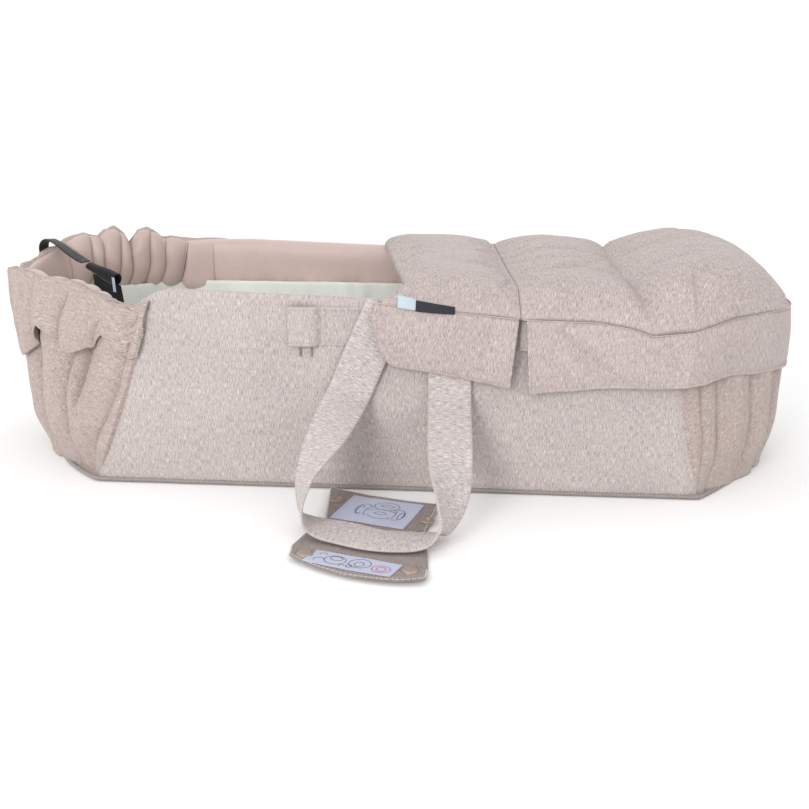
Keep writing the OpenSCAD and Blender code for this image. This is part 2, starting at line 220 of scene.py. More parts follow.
def cloth_piece(name, grid, thick, material, turn=0.0, weave=None, flip=False,
                held="stretched", on=(), **to):
    """A fabric with real thickness and a rounded edge; grid is its outer face. The arguments held and on
    are not used."""
    grid = np.asarray(grid, float)
    if flip:
        grid = grid[::-1]
        weave = None if weave is None else weave[::-1]
    rows, columns = grid.shape[:2]
    normal = surface_normals(grid)
    depth = np.broadcast_to(np.asarray(thick, float), grid.shape[:2])
    if flip:
        depth = depth[::-1]
    low = grid - normal * depth[..., None]
    uv = (yarn_map(grid, turn) if weave is None else np.asarray(weave)).reshape(-1, 2)
    top, low, depth = grid.reshape(-1, 3), low.reshape(-1, 3), depth.ravel()
    ring, inner = rim_of(rows, columns)
    edge = (top[ring] + low[ring]) / 2 + unit(top[ring] - top[inner]) * depth[ring][:, None] * 0.42
    n = rows * columns
    face = quads(rows, columns)
    k = np.arange(len(ring))
    m = (k + 1) % len(ring)
    sides = np.stack([ring[k], 2 * n + k, 2 * n + m, ring[m]], axis=1)
    under = np.stack([2 * n + k, n + ring[k], n + ring[m], 2 * n + m], axis=1)
    faces = np.vstack([face, face[:, ::-1] + n, sides, under])
    piece = make(name, np.vstack([top, low, edge]), faces, material, np.vstack([uv, uv, uv[ring]]), **to)
    return piece


def tube_piece(name, path, radius, material, sides=10, flat=1.0, **to):
    """A round or flattened cord along a path, closed at both ends."""
    path = np.asarray(path, float)
    count = len(path)
    radius = np.broadcast_to(np.asarray(radius, float), (count,))
    run = unit(np.gradient(path, axis=0))
    lean = np.where(np.abs(run[:, 2:3]) > 0.9, np.array([[1.0, 0, 0]]), np.array([[0, 0, 1.0]]))
    side = unit(np.cross(run, lean))
    rise = np.cross(side, run)
    a = np.linspace(0, 2 * PI, sides, endpoint=False)
    ring = side[:, None] * np.cos(a)[None, :, None] + rise[:, None] * (flat * np.sin(a))[None, :, None]
    points = (path[:, None] + ring * radius[:, None, None]).reshape(-1, 3)
    i, j = np.meshgrid(np.arange(count - 1), np.arange(sides), indexing="ij")
    a0, a1 = (i * sides + j).ravel(), (i * sides + (j + 1) % sides).ravel()
    faces = np.stack([a0, a1, a1 + sides, a0 + sides], axis=1).tolist()
    faces.append(list(range(sides - 1, -1, -1)))
    faces.append([(count - 1) * sides + j for j in range(sides)])
    length = np.concatenate([[0], np.cumsum(np.linalg.norm(np.diff(path, axis=0), axis=1))])
    uv = np.stack([np.tile(np.arange(sides) * radius.mean() * 2 * PI / sides, count),
                   np.repeat(length, sides)], axis=1)
    return make(name, points, faces, material, uv * MM, **to)


def stitch_row(paths, pitch=3.0, long=2.1, thick=0.42, zigzag=0.0):
    """Points and faces of separate sewn stitches along one or more paths."""
    points, faces = [], []
    shape = np.array([[-1, 0, 0], [0, 1, 0], [0, 0, 1], [0, -1, 0], [0, 0, -1], [1, 0, 0]], float)
    tri = [(0, 2, 1), (0, 3, 2), (0, 4, 3), (0, 1, 4), (5, 1, 2), (5, 2, 3), (5, 3, 4), (5, 4, 1)]
    for path in paths:
        spots, run = resample(path, pitch)
        for k, (p, d) in enumerate(zip(spots, run)):
            side = unit(np.cross(d, [0.3, 0.5, 0.81]))
            if zigzag:
                d = unit(d + side * zigzag * (1 if k % 2 else -1))
                side = unit(np.cross(d, [0.3, 0.5, 0.81]))
            up = np.cross(side, d)
            base = len(points)
            for a, b, c in shape:
                points.append(p + d * a * long / 2 + side * b * thick + up * c * thick)
            faces += [[base + v for v in f] for f in tri]
    return points, faces


def stitching(name, paths, material, body, pitch=3.0, long=2.1, thick=0.42, zigzag=0.0):
    points, faces = stitch_row(paths, pitch, long, thick, zigzag)
    return make(name, points, faces, material, body=body)


def puff(obj, pinned, pressure, cap, grow=0.02, stiffness=12.0, frames=20):
    """Blows a closed fabric case up with the cloth solver, holding the pinned points."""
    count = len(obj.data.vertices)
    rest = np.zeros(count * 3)
    obj.data.vertices.foreach_get("co", rest)
    group = obj.vertex_groups.new(name="held")
    group.add([int(i) for i in np.nonzero(pinned)[0]], 1.0, "REPLACE")
    solver = obj.modifiers.new("cloth", "CLOTH")
    cloth = solver.settings
    cloth.quality = 5
    cloth.mass = 0.15
    cloth.tension_stiffness = stiffness
    cloth.compression_stiffness = stiffness
    cloth.shear_stiffness = stiffness / 2
    cloth.bending_stiffness = 0.3
    cloth.vertex_group_mass = "held"
    cloth.shrink_min = -grow
    cloth.use_pressure = True
    cloth.uniform_pressure_force = pressure
    cloth.effector_weights.gravity = 0.0
    solver.collision_settings.use_collision = False
    for step in range(1, frames + 1):
        scene.frame_set(step)
    shaped = obj.evaluated_get(bpy.context.evaluated_depsgraph_get()).to_mesh()
    found = np.zeros(count * 3)
    shaped.vertices.foreach_get("co", found)
    obj.evaluated_get(bpy.context.evaluated_depsgraph_get()).to_mesh_clear()
    move = (found - rest).reshape(-1, 3)
    length = np.linalg.norm(move, axis=1, keepdims=True)
    limit = cap * MM
    move *= np.minimum(1.0, limit / np.maximum(length, 1e-9))
    obj.modifiers.remove(solver)
    obj.vertex_groups.remove(group)
    obj.data.vertices.foreach_set("co", (rest.reshape(-1, 3) + move).ravel())
    obj.data.update()
    scene.frame_set(1)


# ---- Materials --------------------------------------------------------------------------
CLOTH_GAIN = 0.888


def colour_of(r, g, b):
    """A screen colour, 0 to 255, as the linear colour a shader takes."""
    out = [((c / 255 + 0.055) / 1.055) ** 2.4 if c > 10 else c / 255 / 12.92 for c in (r, g, b)]
    return tuple(min(0.96, c * CLOTH_GAIN) for c in out) + (1.0,)


class Shader:
    """A principled material and short ways to build its nodes."""

    def __init__(self, name, rough, sheen=0.0, sheen_rough=0.5, specular=0.3, metal=0.0):
        self.mat = bpy.data.materials.new(name)
        self.mat.use_nodes = True
        self.tree = self.mat.node_tree
        self.tree.nodes.clear()
        self.bsdf = self.node("BsdfPrincipled")
        end = self.node("OutputMaterial")
        self.link(self.bsdf.outputs["BSDF"], end.inputs["Surface"])
        self.bsdf.inputs["Roughness"].default_value = rough
        self.bsdf.inputs["Sheen Weight"].default_value = sheen
        self.bsdf.inputs["Sheen Roughness"].default_value = sheen_rough
        self.bsdf.inputs["Specular IOR Level"].default_value = specular
        self.bsdf.inputs["Metallic"].default_value = metal

    def node(self, kind, **settings):
        made = self.tree.nodes.new("ShaderNode" + kind)
        for key, value in settings.items():
            setattr(made, key, value)
        return made

    def link(self, a, b):
        self.tree.links.new(a, b)

    def yarn(self, across, along, turn=0.0):
        """Weave coordinates in metres, scaled to one unit per mark across and along the yarn."""
        source = self.node("UVMap", uv_map="weave")
        spin = self.node("Mapping", vector_type="POINT")
        spin.inputs["Rotation"].default_value = (0.0, 0.0, turn)
        place = self.node("Mapping", vector_type="POINT")
        place.inputs["Scale"].default_value = (1000.0 / across, 1000.0 / along, 1.0)
        self.link(source.outputs["UV"], spin.inputs["Vector"])
        self.link(spin.outputs["Vector"], place.inputs["Vector"])
        return place.outputs["Vector"]

    def solid(self, size):
        """Object coordinates, one unit per size in millimetres."""
        source = self.node("TexCoord")
        place = self.node("Mapping", vector_type="POINT")
        place.inputs["Scale"].default_value = (1000.0 / size,) * 3
        self.link(source.outputs["Object"], place.inputs["Vector"])
        return place.outputs["Vector"]

    def noise(self, vector, detail=2.0, rough=0.6):
        made = self.node("TexNoise", noise_dimensions="3D")
        made.inputs["Scale"].default_value = 1.0
        made.inputs["Detail"].default_value = detail
        made.inputs["Roughness"].default_value = rough
        self.link(vector, made.inputs["Vector"])
        return made.outputs["Fac"]

    def wave(self, vector, direction):
        made = self.node("TexWave", wave_type="BANDS", bands_direction=direction)
        made.inputs["Scale"].default_value = 0.314
        made.inputs["Distortion"].default_value = 0.6
        made.inputs["Detail"].default_value = 0.0
        self.link(vector, made.inputs["Vector"])
        return made.outputs["Fac"]

    def math(self, operation, a, b):
        made = self.node("Math", operation=operation)
        for socket, value in zip(made.inputs, (a, b)):
            if isinstance(value, (int, float)):
                socket.default_value = value
            else:
                self.link(value, socket)
        return made.outputs[0]

    def ramp(self, fac, *stops):
        made = self.node("ValToRGB")
        bar = made.color_ramp.elements
        while len(bar) < len(stops):
            bar.new(0.5)
        for element, (at, colour) in zip(bar, stops):
            element.position = at
            element.color = colour
        self.link(fac, made.inputs["Fac"])
        return made.outputs["Color"]

    def mix(self, fac, a, b, blend="MIX"):
        made = self.node("Mix", data_type="RGBA", blend_type=blend)
        for socket, value in zip((made.inputs[0], made.inputs[6], made.inputs[7]), (fac, a, b)):
            if isinstance(value, (int, float, tuple)):
                socket.default_value = value
            else:
                self.link(value, socket)
        return made.outputs[2]

    def relief(self, height, strength, distance, under=None):
        made = self.node("Bump")
        made.inputs["Strength"].default_value = strength
        made.inputs["Distance"].default_value = distance * MM
        self.link(height, made.inputs["Height"])
        if under is not None:
            self.link(under, made.inputs["Normal"])
        return made.outputs["Normal"]

    def finish(self, colour, normal=None, rough=None):
        if isinstance(colour, tuple):
            self.bsdf.inputs["Base Color"].default_value = colour
        else:
            self.link(colour, self.bsdf.inputs["Base Color"])
        if normal is not None:
            self.link(normal, self.bsdf.inputs["Normal"])
        if rough is not None:
            self.link(rough, self.bsdf.inputs["Roughness"])
        return self.mat


def grey(level):
    return (level, level, level, 1.0)


def heather_cloth(name, colour, turn=0.0, contrast=1.0):
    """Melange canvas: slub streaks along the yarn, lighter flecks, darker fibres and soft fading."""
    s = Shader(name, 0.9, sheen=0.18, sheen_rough=0.5, specular=0.15)
    slub = s.noise(s.yarn(0.55, 6.5, turn), 2.5, 0.65)
    broad = s.noise(s.yarn(2.2, 26.0, turn), 1.5, 0.5)
    fleck = s.noise(s.yarn(0.6, 3.2, turn), 1.0, 0.5)
    cloud = s.noise(s.solid(55.0), 2.0, 0.5)
    spread = 0.42 * contrast
    base = s.ramp(
        slub,
        (0.28, grey(1 - spread * 1.15)),
        (0.45, grey(1 - spread * 0.35)),
        (0.56, grey(1.0)),
        (0.72, grey(1 + spread * 0.95)),
    )
    flecks = s.ramp(fleck, (0.30, (0.80, 0.77, 0.77, 1)), (0.48, grey(1.0)),
                    (0.70, (1.12, 1.11, 1.10, 1)))
    bands = s.ramp(broad, (0.30, grey(0.94)), (0.70, grey(1.05)))
    clouds = s.ramp(cloud, (0.30, (0.965, 0.96, 0.965, 1)), (0.70, (1.03, 1.03, 1.02, 1)))
    tone = s.mix(1.0, base, flecks, "MULTIPLY")
    tone = s.mix(1.0, tone, bands, "MULTIPLY")
    tone = s.mix(1.0, tone, clouds, "MULTIPLY")
    tone = s.mix(1.0, tone, colour, "MULTIPLY")
    warp = s.wave(s.yarn(0.75, 0.75, turn), "X")
    weft = s.wave(s.yarn(0.75, 0.75, turn), "Y")
    weave = s.math("ADD", s.math("MULTIPLY", warp, weft), s.math("MULTIPLY", slub, 0.9))
    normal = s.relief(weave, 0.35, 0.22)
    normal = s.relief(s.noise(s.solid(9.0), 3.0, 0.55), 0.25, 0.9, normal)
    return s.finish(tone, normal)


def satin_cloth(name, colour, shine=0.42):
    """Smooth woven polyester: fine twill, soft lustre, faint crumple."""
    s = Shader(name, shine, sheen=0.35, sheen_rough=0.4, specular=0.35)
    fine = s.noise(s.yarn(0.5, 3.0), 2.0, 0.6)
    cloud = s.noise(s.solid(38.0), 3.0, 0.55)
    tone = s.mix(
        1.0,
        s.ramp(fine, (0.30, grey(0.93)), (0.70, grey(1.06))),
        s.ramp(cloud, (0.30, (0.95, 0.945, 0.945, 1)), (0.70, (1.04, 1.04, 1.035, 1))),
        "MULTIPLY",
    )
    tone = s.mix(1.0, tone, colour, "MULTIPLY")
    twill = s.wave(s.yarn(0.45, 0.45, 0.6), "X")
    normal = s.relief(twill, 0.12, 0.10)
    normal = s.relief(s.noise(s.solid(14.0), 3.0, 0.5), 0.22, 1.2, normal)
    rough = s.math("ADD", s.math("MULTIPLY", cloud, 0.18), shine - 0.08)
    return s.finish(tone, normal, rough)


def cotton_cloth(name, colour, crumple=0.4):
    """Plain jersey or cotton: tiny knit, matt, gently crumpled."""
    s = Shader(name, 0.92, sheen=0.12, specular=0.12)
    knit = s.math("MULTIPLY", s.wave(s.yarn(1.1, 1.1, 0.785), "X"), s.wave(s.yarn(1.1, 1.1, -0.785), "X"))
    cloud = s.noise(s.solid(30.0), 3.0, 0.6)
    tone = s.mix(
        1.0,
        s.ramp(knit, (0.0, grey(0.95)), (1.0, grey(1.02))),
        s.ramp(cloud, (0.3, (0.955, 0.96, 0.955, 1)), (0.7, (1.02, 1.02, 1.02, 1))),
        "MULTIPLY",
    )
    tone = s.mix(1.0, tone, colour, "MULTIPLY")
    normal = s.relief(knit, 0.2, 0.15)
    normal = s.relief(cloud, crumple, 2.2, normal)
    return s.finish(tone, normal)


def webbing_cloth(name, colour, rib=1.6, rough=0.55):
    """Woven tape: ribs across its length, painted darker in their grooves and lighter on their crowns as
    shade and light on the ribs.
    """
    s = Shader(name, rough, sheen=0.15, specular=0.4)
    ribs = s.wave(s.yarn(rib, rib), "Y")
    cross = s.wave(s.yarn(rib * 0.8, rib * 0.8), "X")
    weave = s.math("MULTIPLY", ribs, s.math("ADD", s.math("MULTIPLY", cross, 0.4), 0.6))
    fuzz = s.noise(s.solid(2.0), 2.0, 0.6)
    # The rib height also sets the colour: painted shade in the grooves, painted highlight on the crowns.
    tone = s.mix(1.0, s.ramp(weave, (0.0, grey(0.6)), (1.0, grey(1.5))), colour, "MULTIPLY")
    tone = s.mix(1.0, tone, s.ramp(fuzz, (0.3, grey(0.85)), (0.7, grey(1.2))), "MULTIPLY")
    return s.finish(tone, s.relief(weave, 0.5, 0.35))


def thread_yarn(name, colour):
    s = Shader(name, 0.6, sheen=0.2, specular=0.3)
    twist = s.noise(s.solid(0.6), 1.0, 0.5)
    tone = s.mix(1.0, s.ramp(twist, (0.3, grey(0.82)), (0.7, grey(1.1))), colour, "MULTIPLY")
    return s.finish(tone, s.relief(twist, 0.3, 0.1))


def moulded(name, colour, rough=0.35, metal=0.0):
    """Lacquered or moulded snap: fine grain, worn gloss."""
    s = Shader(name, rough, specular=0.5, metal=metal)
    grain = s.noise(s.solid(1.2), 3.0, 0.6)
    cloud = s.noise(s.solid(6.0), 2.0, 0.5)
    tone = s.mix(1.0, s.ramp(cloud, (0.3, grey(0.9)), (0.7, grey(1.08))), colour, "MULTIPLY")
    rough_map = s.math("ADD", s.math("MULTIPLY", cloud, 0.25), rough - 0.12)
    return s.finish(tone, s.relief(grain, 0.1, 0.05), rough_map)


def studio_floor(name, colour):
    s = Shader(name, 0.8, specular=0.1)
    cloud = s.noise(s.solid(220.0), 2.0, 0.5)
    return s.finish(s.mix(1.0, s.ramp(cloud, (0.3, grey(0.995)), (0.7, grey(1.0))), colour, "MULTIPLY"))


HEATHER = colour_of(195, 185, 182)
mat_panel = heather_cloth("heather_panel", HEATHER)
mat_gather = heather_cloth("heather_gather", colour_of(186, 171, 165), turn=0.55)
# The cover's heather is the panel heather made a little darker: painted shade for its upward-facing top and
# for the fall-off of light toward the foot end.
mat_cover_shaded = heather_cloth("heather_cover_shaded", colour_of(192, 179, 176), turn=0.12, contrast=1.05)
mat_strap = heather_cloth("heather_strap", colour_of(206, 197, 195), turn=PI / 2, contrast=1.25)
mat_wrap = heather_cloth("heather_wrap", colour_of(152, 140, 136), turn=0.2, contrast=0.9)
mat_satin = satin_cloth("tan_satin", colour_of(205, 184, 178))
mat_lining = satin_cloth("tan_lining_satin", colour_of(196, 175, 168))
mat_under = satin_cloth("underside_cloth", colour_of(168, 158, 152), 0.7)
mat_liner = cotton_cloth("liner_jersey", colour_of(236, 238, 232))
mat_mattress = cotton_cloth("mattress_jersey", colour_of(238, 238, 234), 0.3)
mat_piping = webbing_cloth("base_piping_braid", colour_of(152, 142, 139), 1.4, 0.75)
mat_webbing = webbing_cloth("black_webbing", colour_of(22, 23, 26), 1.5)
mat_black = webbing_cloth("black_felt", colour_of(17, 17, 20), 0.9, 0.9)
mat_thread = thread_yarn("tan_thread", colour_of(196, 180, 172))
# This dark thread is real stitching at the head rim and also stands as painted shade inside the belt slits.
mat_dark_thread_and_slit_shade = thread_yarn("shadow_thread", colour_of(150, 132, 124))
mat_thread_pale = thread_yarn("pale_thread", colour_of(222, 212, 205))
mat_thread_black = thread_yarn("black_thread", colour_of(34, 36, 40))
mat_label = satin_cloth("label_ribbon", colour_of(192, 198, 224), 0.3)
mat_ink = thread_yarn("label_ink", colour_of(60, 66, 80))
mat_ink_red = thread_yarn("label_ink_red", colour_of(190, 70, 84))
mat_ink_green = thread_yarn("label_ink_green", colour_of(60, 130, 110))
mat_tag_light = satin_cloth("tag_ribbon_light", colour_of(182, 198, 208), 0.4)
mat_tag_dark = webbing_cloth("tag_ribbon_dark", colour_of(30, 32, 42), 0.8, 0.6)
mat_snap = moulded("snap_lacquer", colour_of(178, 160, 148), 0.32, 0.35)

mat_floor = studio_floor("pale_floor", (0.93, 0.93, 0.93, 1.0))
floor_points = [[x, y, -0.4] for x in (-6000, 6000) for y in (-6000, 6000)]
floor = make("floor", floor_points, [[0, 2, 3, 1]], mat_floor)


# ---- Shape of the cot -------------------------------------------------------------------
def head_seam(z):
    """How far the seam at the head end of the panels lies from the middle, at a height."""
    return 285 - 0.31 * z


def foot_seam(z):
    """The same at the foot end."""
    return 288 - 0.17 * z


def pushed_out(place, t, out, sign):
    """Point of a curve at t, moved by out along the curve's normal."""
    x, y = place(t)
    step = 0.01
    xb, yb = place(t + step)
    xa, ya = place(t - step)
    nx, ny = sign * (yb - ya), sign * (xa - xb)
    size = np.hypot(nx, ny)
    return x + nx / size * out, y + ny / size * out


def head_xy(t, z, out=0.0):
    """Point of the head end's curve at t (-1 front to 1 rear), moved outward by out."""
    side = head_seam(z)
    reach = 388 + 15 * np.minimum(1.0, z / 130)

    def place(at):
        return -(side + (reach - side) * (1 - np.abs(at) ** 2.3)), HALF_W * at

    return pushed_out(place, t, out, -1)


def foot_xy(t, z, out=0.0):
    """Point of the foot end's curve, in the same way."""
    side = foot_seam(z)

    def place(at):
        return side + (380 - side) * (1 - np.abs(at) ** 1.9), HALF_W * at

    return pushed_out(place, t, out, 1)


def even_t(count):
    """Values from -1 to 1, closer together near the front and rear where the curve is tight."""
    a = np.linspace(-1, 1, count)
    return np.sign(a) * (1 - (1 - np.abs(a)) ** 1.25)


def rim_height(t):
    """Height of the head end's rim: low in front, lumpy where the rear is drawn together."""
    at = [-1, -0.97, -0.93, -0.9, -0.87, -0.82, -0.78, -0.7, -0.62, -0.5, -0.35, -0.2, 0.0, 0.2, 0.35,
          0.45, 0.51, 0.55, 0.58, 0.61, 0.65, 0.685, 0.705, 0.74, 0.77, 0.79, 0.82, 0.85, 0.88, 1]
    z = [178, 171, 172, 174, 178, 183, 186, 187, 186, 189, 187, 183, 180, 187, 195, 203, 207,
         203, 201, 208, 210, 202, 191, 206, 208, 204, 197, 197, 194, 192]
    return np.interp(t, at, z)


# Base: a soft-edged underside and a braid round it
def plan_loop(count, out, z):
    """The cot's outline at the floor, head end first."""
    t = even_t(count)
    x, y = head_xy(-t, 0.0, out)
    head = stack(x, y, z)
    x, y = foot_xy(t, 0.0, out)
    return np.vstack([head, stack(x, y, z)])


outline = plan_loop(60, 0.0, 0.0)
outline[:, 0] -= np.sign(outline[:, 0]) * 0.2 * np.clip(np.abs(outline[:, 0]) - 288, 0, None)
SOLE = [(1, 2.6), (1, 1.0), (0.996, 0.1), (0.93, 0), (0.6, 0), (0.25, 0)]  # scale, height
rings = [outline * [scale, scale, 1] + [0, 0, height] for scale, height in SOLE]
n_ring = len(outline)
base_points = np.vstack(rings + [[[0, 0, 0.0]]])
base_faces = []
for r in range(len(rings) - 1):
    for k in range(n_ring):
        m = (k + 1) % n_ring
        base_faces.append([r * n_ring + m, r * n_ring + k, (r + 1) * n_ring + k, (r + 1) * n_ring + m])
last = (len(rings) - 1) * n_ring
base_faces += [[last + (k + 1) % n_ring, last + k, last + n_ring] for k in range(n_ring)]
base_faces.append(list(range(n_ring)))
make("base_cloth", base_points, base_faces, mat_under, base_points[:, :2] * MM,
     "cot", "heather_fabric", ("base_fabric", "base_board"))

braid = plan_loop(110, 1.6, 2.4)
braid[:, 0] -= np.sign(braid[:, 0]) * 0.25 * np.clip(np.abs(braid[:, 0]) - 288, 0, None)
braid = resample(np.vstack([braid, braid[:1]]), 4.0)[0]
braid[:, 2] += 0.35 * value_noise(np.arange(len(braid)) * 0.13, 0.0, 3)
tube_piece("base_braid", braid, 1.7, mat_piping, flat=1.15, body="cot", slot="base_piping",
           nodes=("base_piping",))


# Side panels: heather over a board, rolled over at the top
def panel_top(x):
    """Height of a side panel's upper edge, which dips towards the head end."""
    z = np.interp(x, [-226, -118, -17, 60, 290], [191, 187, 183.5, 181, 180])
    return z - 15 * np.clip((-x - 196) / 32, 0, 1) ** 2


def side_panel(name, side, **to):
    """A side wall, slightly swollen, drawn in at its seams and curled over at the top."""
    u = np.linspace(0, 1, 190)[:, None]
    w = np.linspace(0, 1, 84)[None, :]
    body = np.clip(w / 0.86, 0, 1)

    def left(z):
        return -head_seam(z) - 1.5

    x0 = left(190) + (foot_seam(190) - left(190)) * u
    top = panel_top(x0)
    z = 1.5 + (top - 5.5) * body
    x = left(z) + (foot_seam(z) - left(z)) * u
    held = ease(-135, -100, x) * (1 - ease(150, 185, x)) * ease(80, 96, z)
    swell = 3.0 * (np.sin(PI * u) ** 0.45) * np.sin(PI * np.clip(z / 190, 0, 1)) ** 0.6
    soft = 1.5 * value_noise(x / 70, z / 95 + 3, 11 + side) + 0.8 * value_noise(x / 30, z / 60, 12)
    low = 1.5 * bump_curve(z, 14, 15) * value_noise(x / 24, z / 9, 13)
    seam = -3.0 * np.exp(-((x - left(z)) / 7) ** 2) - 3.0 * np.exp(-((foot_seam(z) - x) / 7) ** 2)
    fade = np.sin(PI * np.clip(u, 0, 1)) ** 0.3 * ease(0, 22, z)
    out = (swell + (soft + low) * fade) * (1 - held) + 0.25 * held + seam
    roll = np.clip((w - 0.86) / 0.14, 0, 1) * PI
    curl = 4.4
    out = out - curl * (1 - np.cos(roll)) * (w > 0.86)
    z = z + curl * np.sin(roll) * (w > 0.86)
    y = side * (HALF_W + out)
    grid = stack(x, y, z)
    weave = stack(x * MM, (np.broadcast_to(z, x.shape) + 0 * x) * MM)
    return cloth_piece(name, grid, 2.3, mat_panel, weave=weave, flip=side > 0, on=("base_cloth",),
                       body="cot", slot="heather_fabric", **to)


side_panel("front_panel_cloth", -1, nodes=("front_side_panel", "front_side_board"))
side_panel("rear_panel_cloth", 1, nodes=("rear_side_panel", "rear_side_board"))

# Billows of gathered cloth: the valleys between them are given as t at each of these heights
VALLEY_Z = [0, 35, 65, 95, 122, 160, 210]


def drape(t, z, valleys, power, full):
    """0 in the valleys, rising to 1 on wide billows between them."""
    t, z = np.broadcast_arrays(t, z)
    lines = [np.interp(z, VALLEY_Z, at) for at in valleys]
    crown = np.zeros(t.shape)
    for a, b in zip(lines, lines[1:]):
        part = np.clip((t - a) / (b - a), 0, 1)
        crown = np.maximum(crown, np.sin(PI * part) ** power * np.clip((b - a) / full, 0, 1) ** 0.6)
    return crown


def level(value):
    """A valley that stays at one t over the whole height."""
    return [value] * len(VALLEY_Z)


# Head end: gathered cloth, its folds drawn together at the base corners
HEAD_EDGE = [level(-1.02), [-0.935, -0.93, -0.962, -0.975, -0.978, -0.978, -0.978]]
HEAD_SHORT = [[-0.87, -0.84, -0.80, -0.835, -0.853, -0.86, -0.86]]
HEAD_LONG = [[-0.85, -0.76, -0.734, -0.752, -0.776, -0.79, -0.79],
             [-0.62, -0.57, -0.55, -0.55, -0.55, -0.56, -0.57],
             [-0.36, -0.33, -0.31, -0.30, -0.30, -0.31, -0.32],
             [-0.1, -0.08, -0.06, -0.05, -0.04, -0.03, -0.03],
             [0.14, 0.16, 0.17, 0.19, 0.2, 0.2, 0.2],
             [0.42, 0.4, 0.38, 0.37, 0.37, 0.38, 0.38],
             [0.66, 0.6, 0.57, 0.55, 0.55, 0.56, 0.56],
             [0.84, 0.77, 0.73, 0.72, 0.73, 0.74, 0.74],
             [0.93, 0.91, 0.9, 0.88, 0.88, 0.88, 0.88],
             level(1.02)]


def head_gather_out(t, z):
    """How far the head end's gathered cloth stands out from the plain curve."""
    sway = t + 0.008 * value_noise(t * 5, z / 40, 21)
    broad = drape(sway, z, HEAD_EDGE + HEAD_LONG, 0.62, 0.16)
    split = drape(sway, z, HEAD_EDGE + HEAD_SHORT + HEAD_LONG, 0.62, 0.12)
    fold = broad + (split - broad) * ease(45, 80, z)
    small = pleats((t + 1) * 2.3 + 0.02 * value_noise(t * 9, z / 25, 22),
                   np.linspace(0, 4.6, 30), 0.8, 0.01)
    high = 0.35 + 0.65 * ease(0, 50, z)
    amount = -10.0 + 14.0 * fold * high + 1.2 * small * ease(118, 165, z)
    corner = 9.0 * ease(0.90, 0.985, np.abs(t)) * np.sin(PI * np.clip((z + 8) / 215, 0, 1)) ** 0.6
    tuck = -5.0 * ease(0.994, 1.0, np.abs(t))
    under = -3.0 * (1 - ease(0, 45, z)) * (1 - np.abs(t) ** 8)
    rough = 1.1 * value_noise(t * 12, z / 26, 23) + 0.5 * value_noise(t * 34, z / 14, 24)
    return amount + corner + tuck + under + rough


def head_lap(t, z):
    """How far the last billow beside a panel laps over the panel's edge."""
    return 10.0 * ease(0.92, 1.0, np.abs(t)) * np.sin(PI * np.clip((z - 18) / 215, 0, 1)) ** 0.7


def head_gather_grid():
    t = even_t(420)[:, None]
    w = np.linspace(0, 1, 90)[None, :]
    z = 1.0 + (rim_height(t) - 8.0) * w
    x, y = head_xy(t, z, head_gather_out(t, z))
    return stack(x + head_lap(t, z), y, z + 0 * x)


cloth_piece("head_gathered_cloth", head_gather_grid(), 2.0, mat_gather, turn=0.35, flip=True,
            held="gathered", on=("base_cloth",), body="cot", slot="heather_fabric",
            nodes=("head_gather", "head_elastic"))

# The casing of the drawstring edge flops outward in a ruffle
FRILL = [0, 0.03, 0.09, 0.235, 0.43, 0.66, 0.9, 1.15, 1.35, 1.5, 1.62, 1.73, 1.84, 1.93, 2.0]

# Height of the ruffle's free edge at each of these t
FRILL_TIP_T = [-1, -0.985, -0.964, -0.932, -0.91, -0.897, -0.869, -0.81, -0.76, -0.695, -0.64,
               -0.57, -0.45, -0.3, 0, 0.5, 0.8, 1]
FRILL_TIP_Z = [124, 121, 131, 145, 138, 129, 132, 125, 131, 139, 146,
               118, 108, 118, 150, 150, 138, 136]


def head_frill_grid():
    t = even_t(460)[:, None]
    w = np.linspace(0, 1, 64)[None, :]
    q = (t + 1) + 0.02 * value_noise(t * 6, w * 2.5, 31)
    crown = pleats(q, FRILL, 0.55, 0.11)
    side = 0.42 + 0.58 * np.maximum(ease(0.35, 0.75, -t), ease(0.45, 0.8, t))
    tip = np.interp(t, FRILL_TIP_T, FRILL_TIP_Z)
    rim = rim_height(t) + 1.5 * value_noise(t * 11, 0.0, 32)
    fall = rim - tip
    over = np.clip(w / 0.24, 0, 1)
    down = np.clip((w - 0.24) / 0.76, 0, 1)
    lift = 3.5 * np.sin(PI * over * 0.5) * (1 - down)
    out = -5.0 + (1.0 + 8.0 * side) * np.sin(PI / 2 * over) + 4.0 * side * np.sin(PI * down)
    wave = (crown - 0.5) * (3.0 + 14.0 * side * down**0.8)
    curl = 1.6 * np.cos(2 * PI * (q * 7 + 0.6 * value_noise(t * 4, w, 33))) * side * down
    out = np.maximum(out + wave + curl, -7.5 + 12.0 * side * down * ease(0.7, 0.9, np.abs(t)))
    z = rim + lift - fall * down * (0.93 + 0.10 * crown)
    z = z - 3.0 * (1 - crown) * over * (1 - down)
    slide = 0.012 * np.sin(2 * PI * q * 5.5) * down * side
    at = np.clip(t + slide, -1, 1)
    clear = head_gather_out(at, z) + 2.4 + 1.4 * crown * side
    out = np.where(down > 0, np.maximum(out, clear), out)
    x, y = head_xy(at, np.clip(z, 0, 206), out)
    lap = 1.15 * head_lap(t, z) * ease(0, 0.5, over)
    return stack(x + lap, y, z + 0 * x)


cloth_piece("head_ruffle", head_frill_grid(), 1.8, mat_gather, turn=0.75, flip=True, held="gathered",
            on=("head_gathered_cloth",), body="cot", slot="heather_fabric")

# Head lining: satin pillows drawn together between creases
LINING = [0, 0.11, 0.15, 0.20, 0.28, 0.40, 0.65, 1.40, 1.525, 1.58, 1.66, 1.71, 1.78, 1.835, 1.895, 2.0]


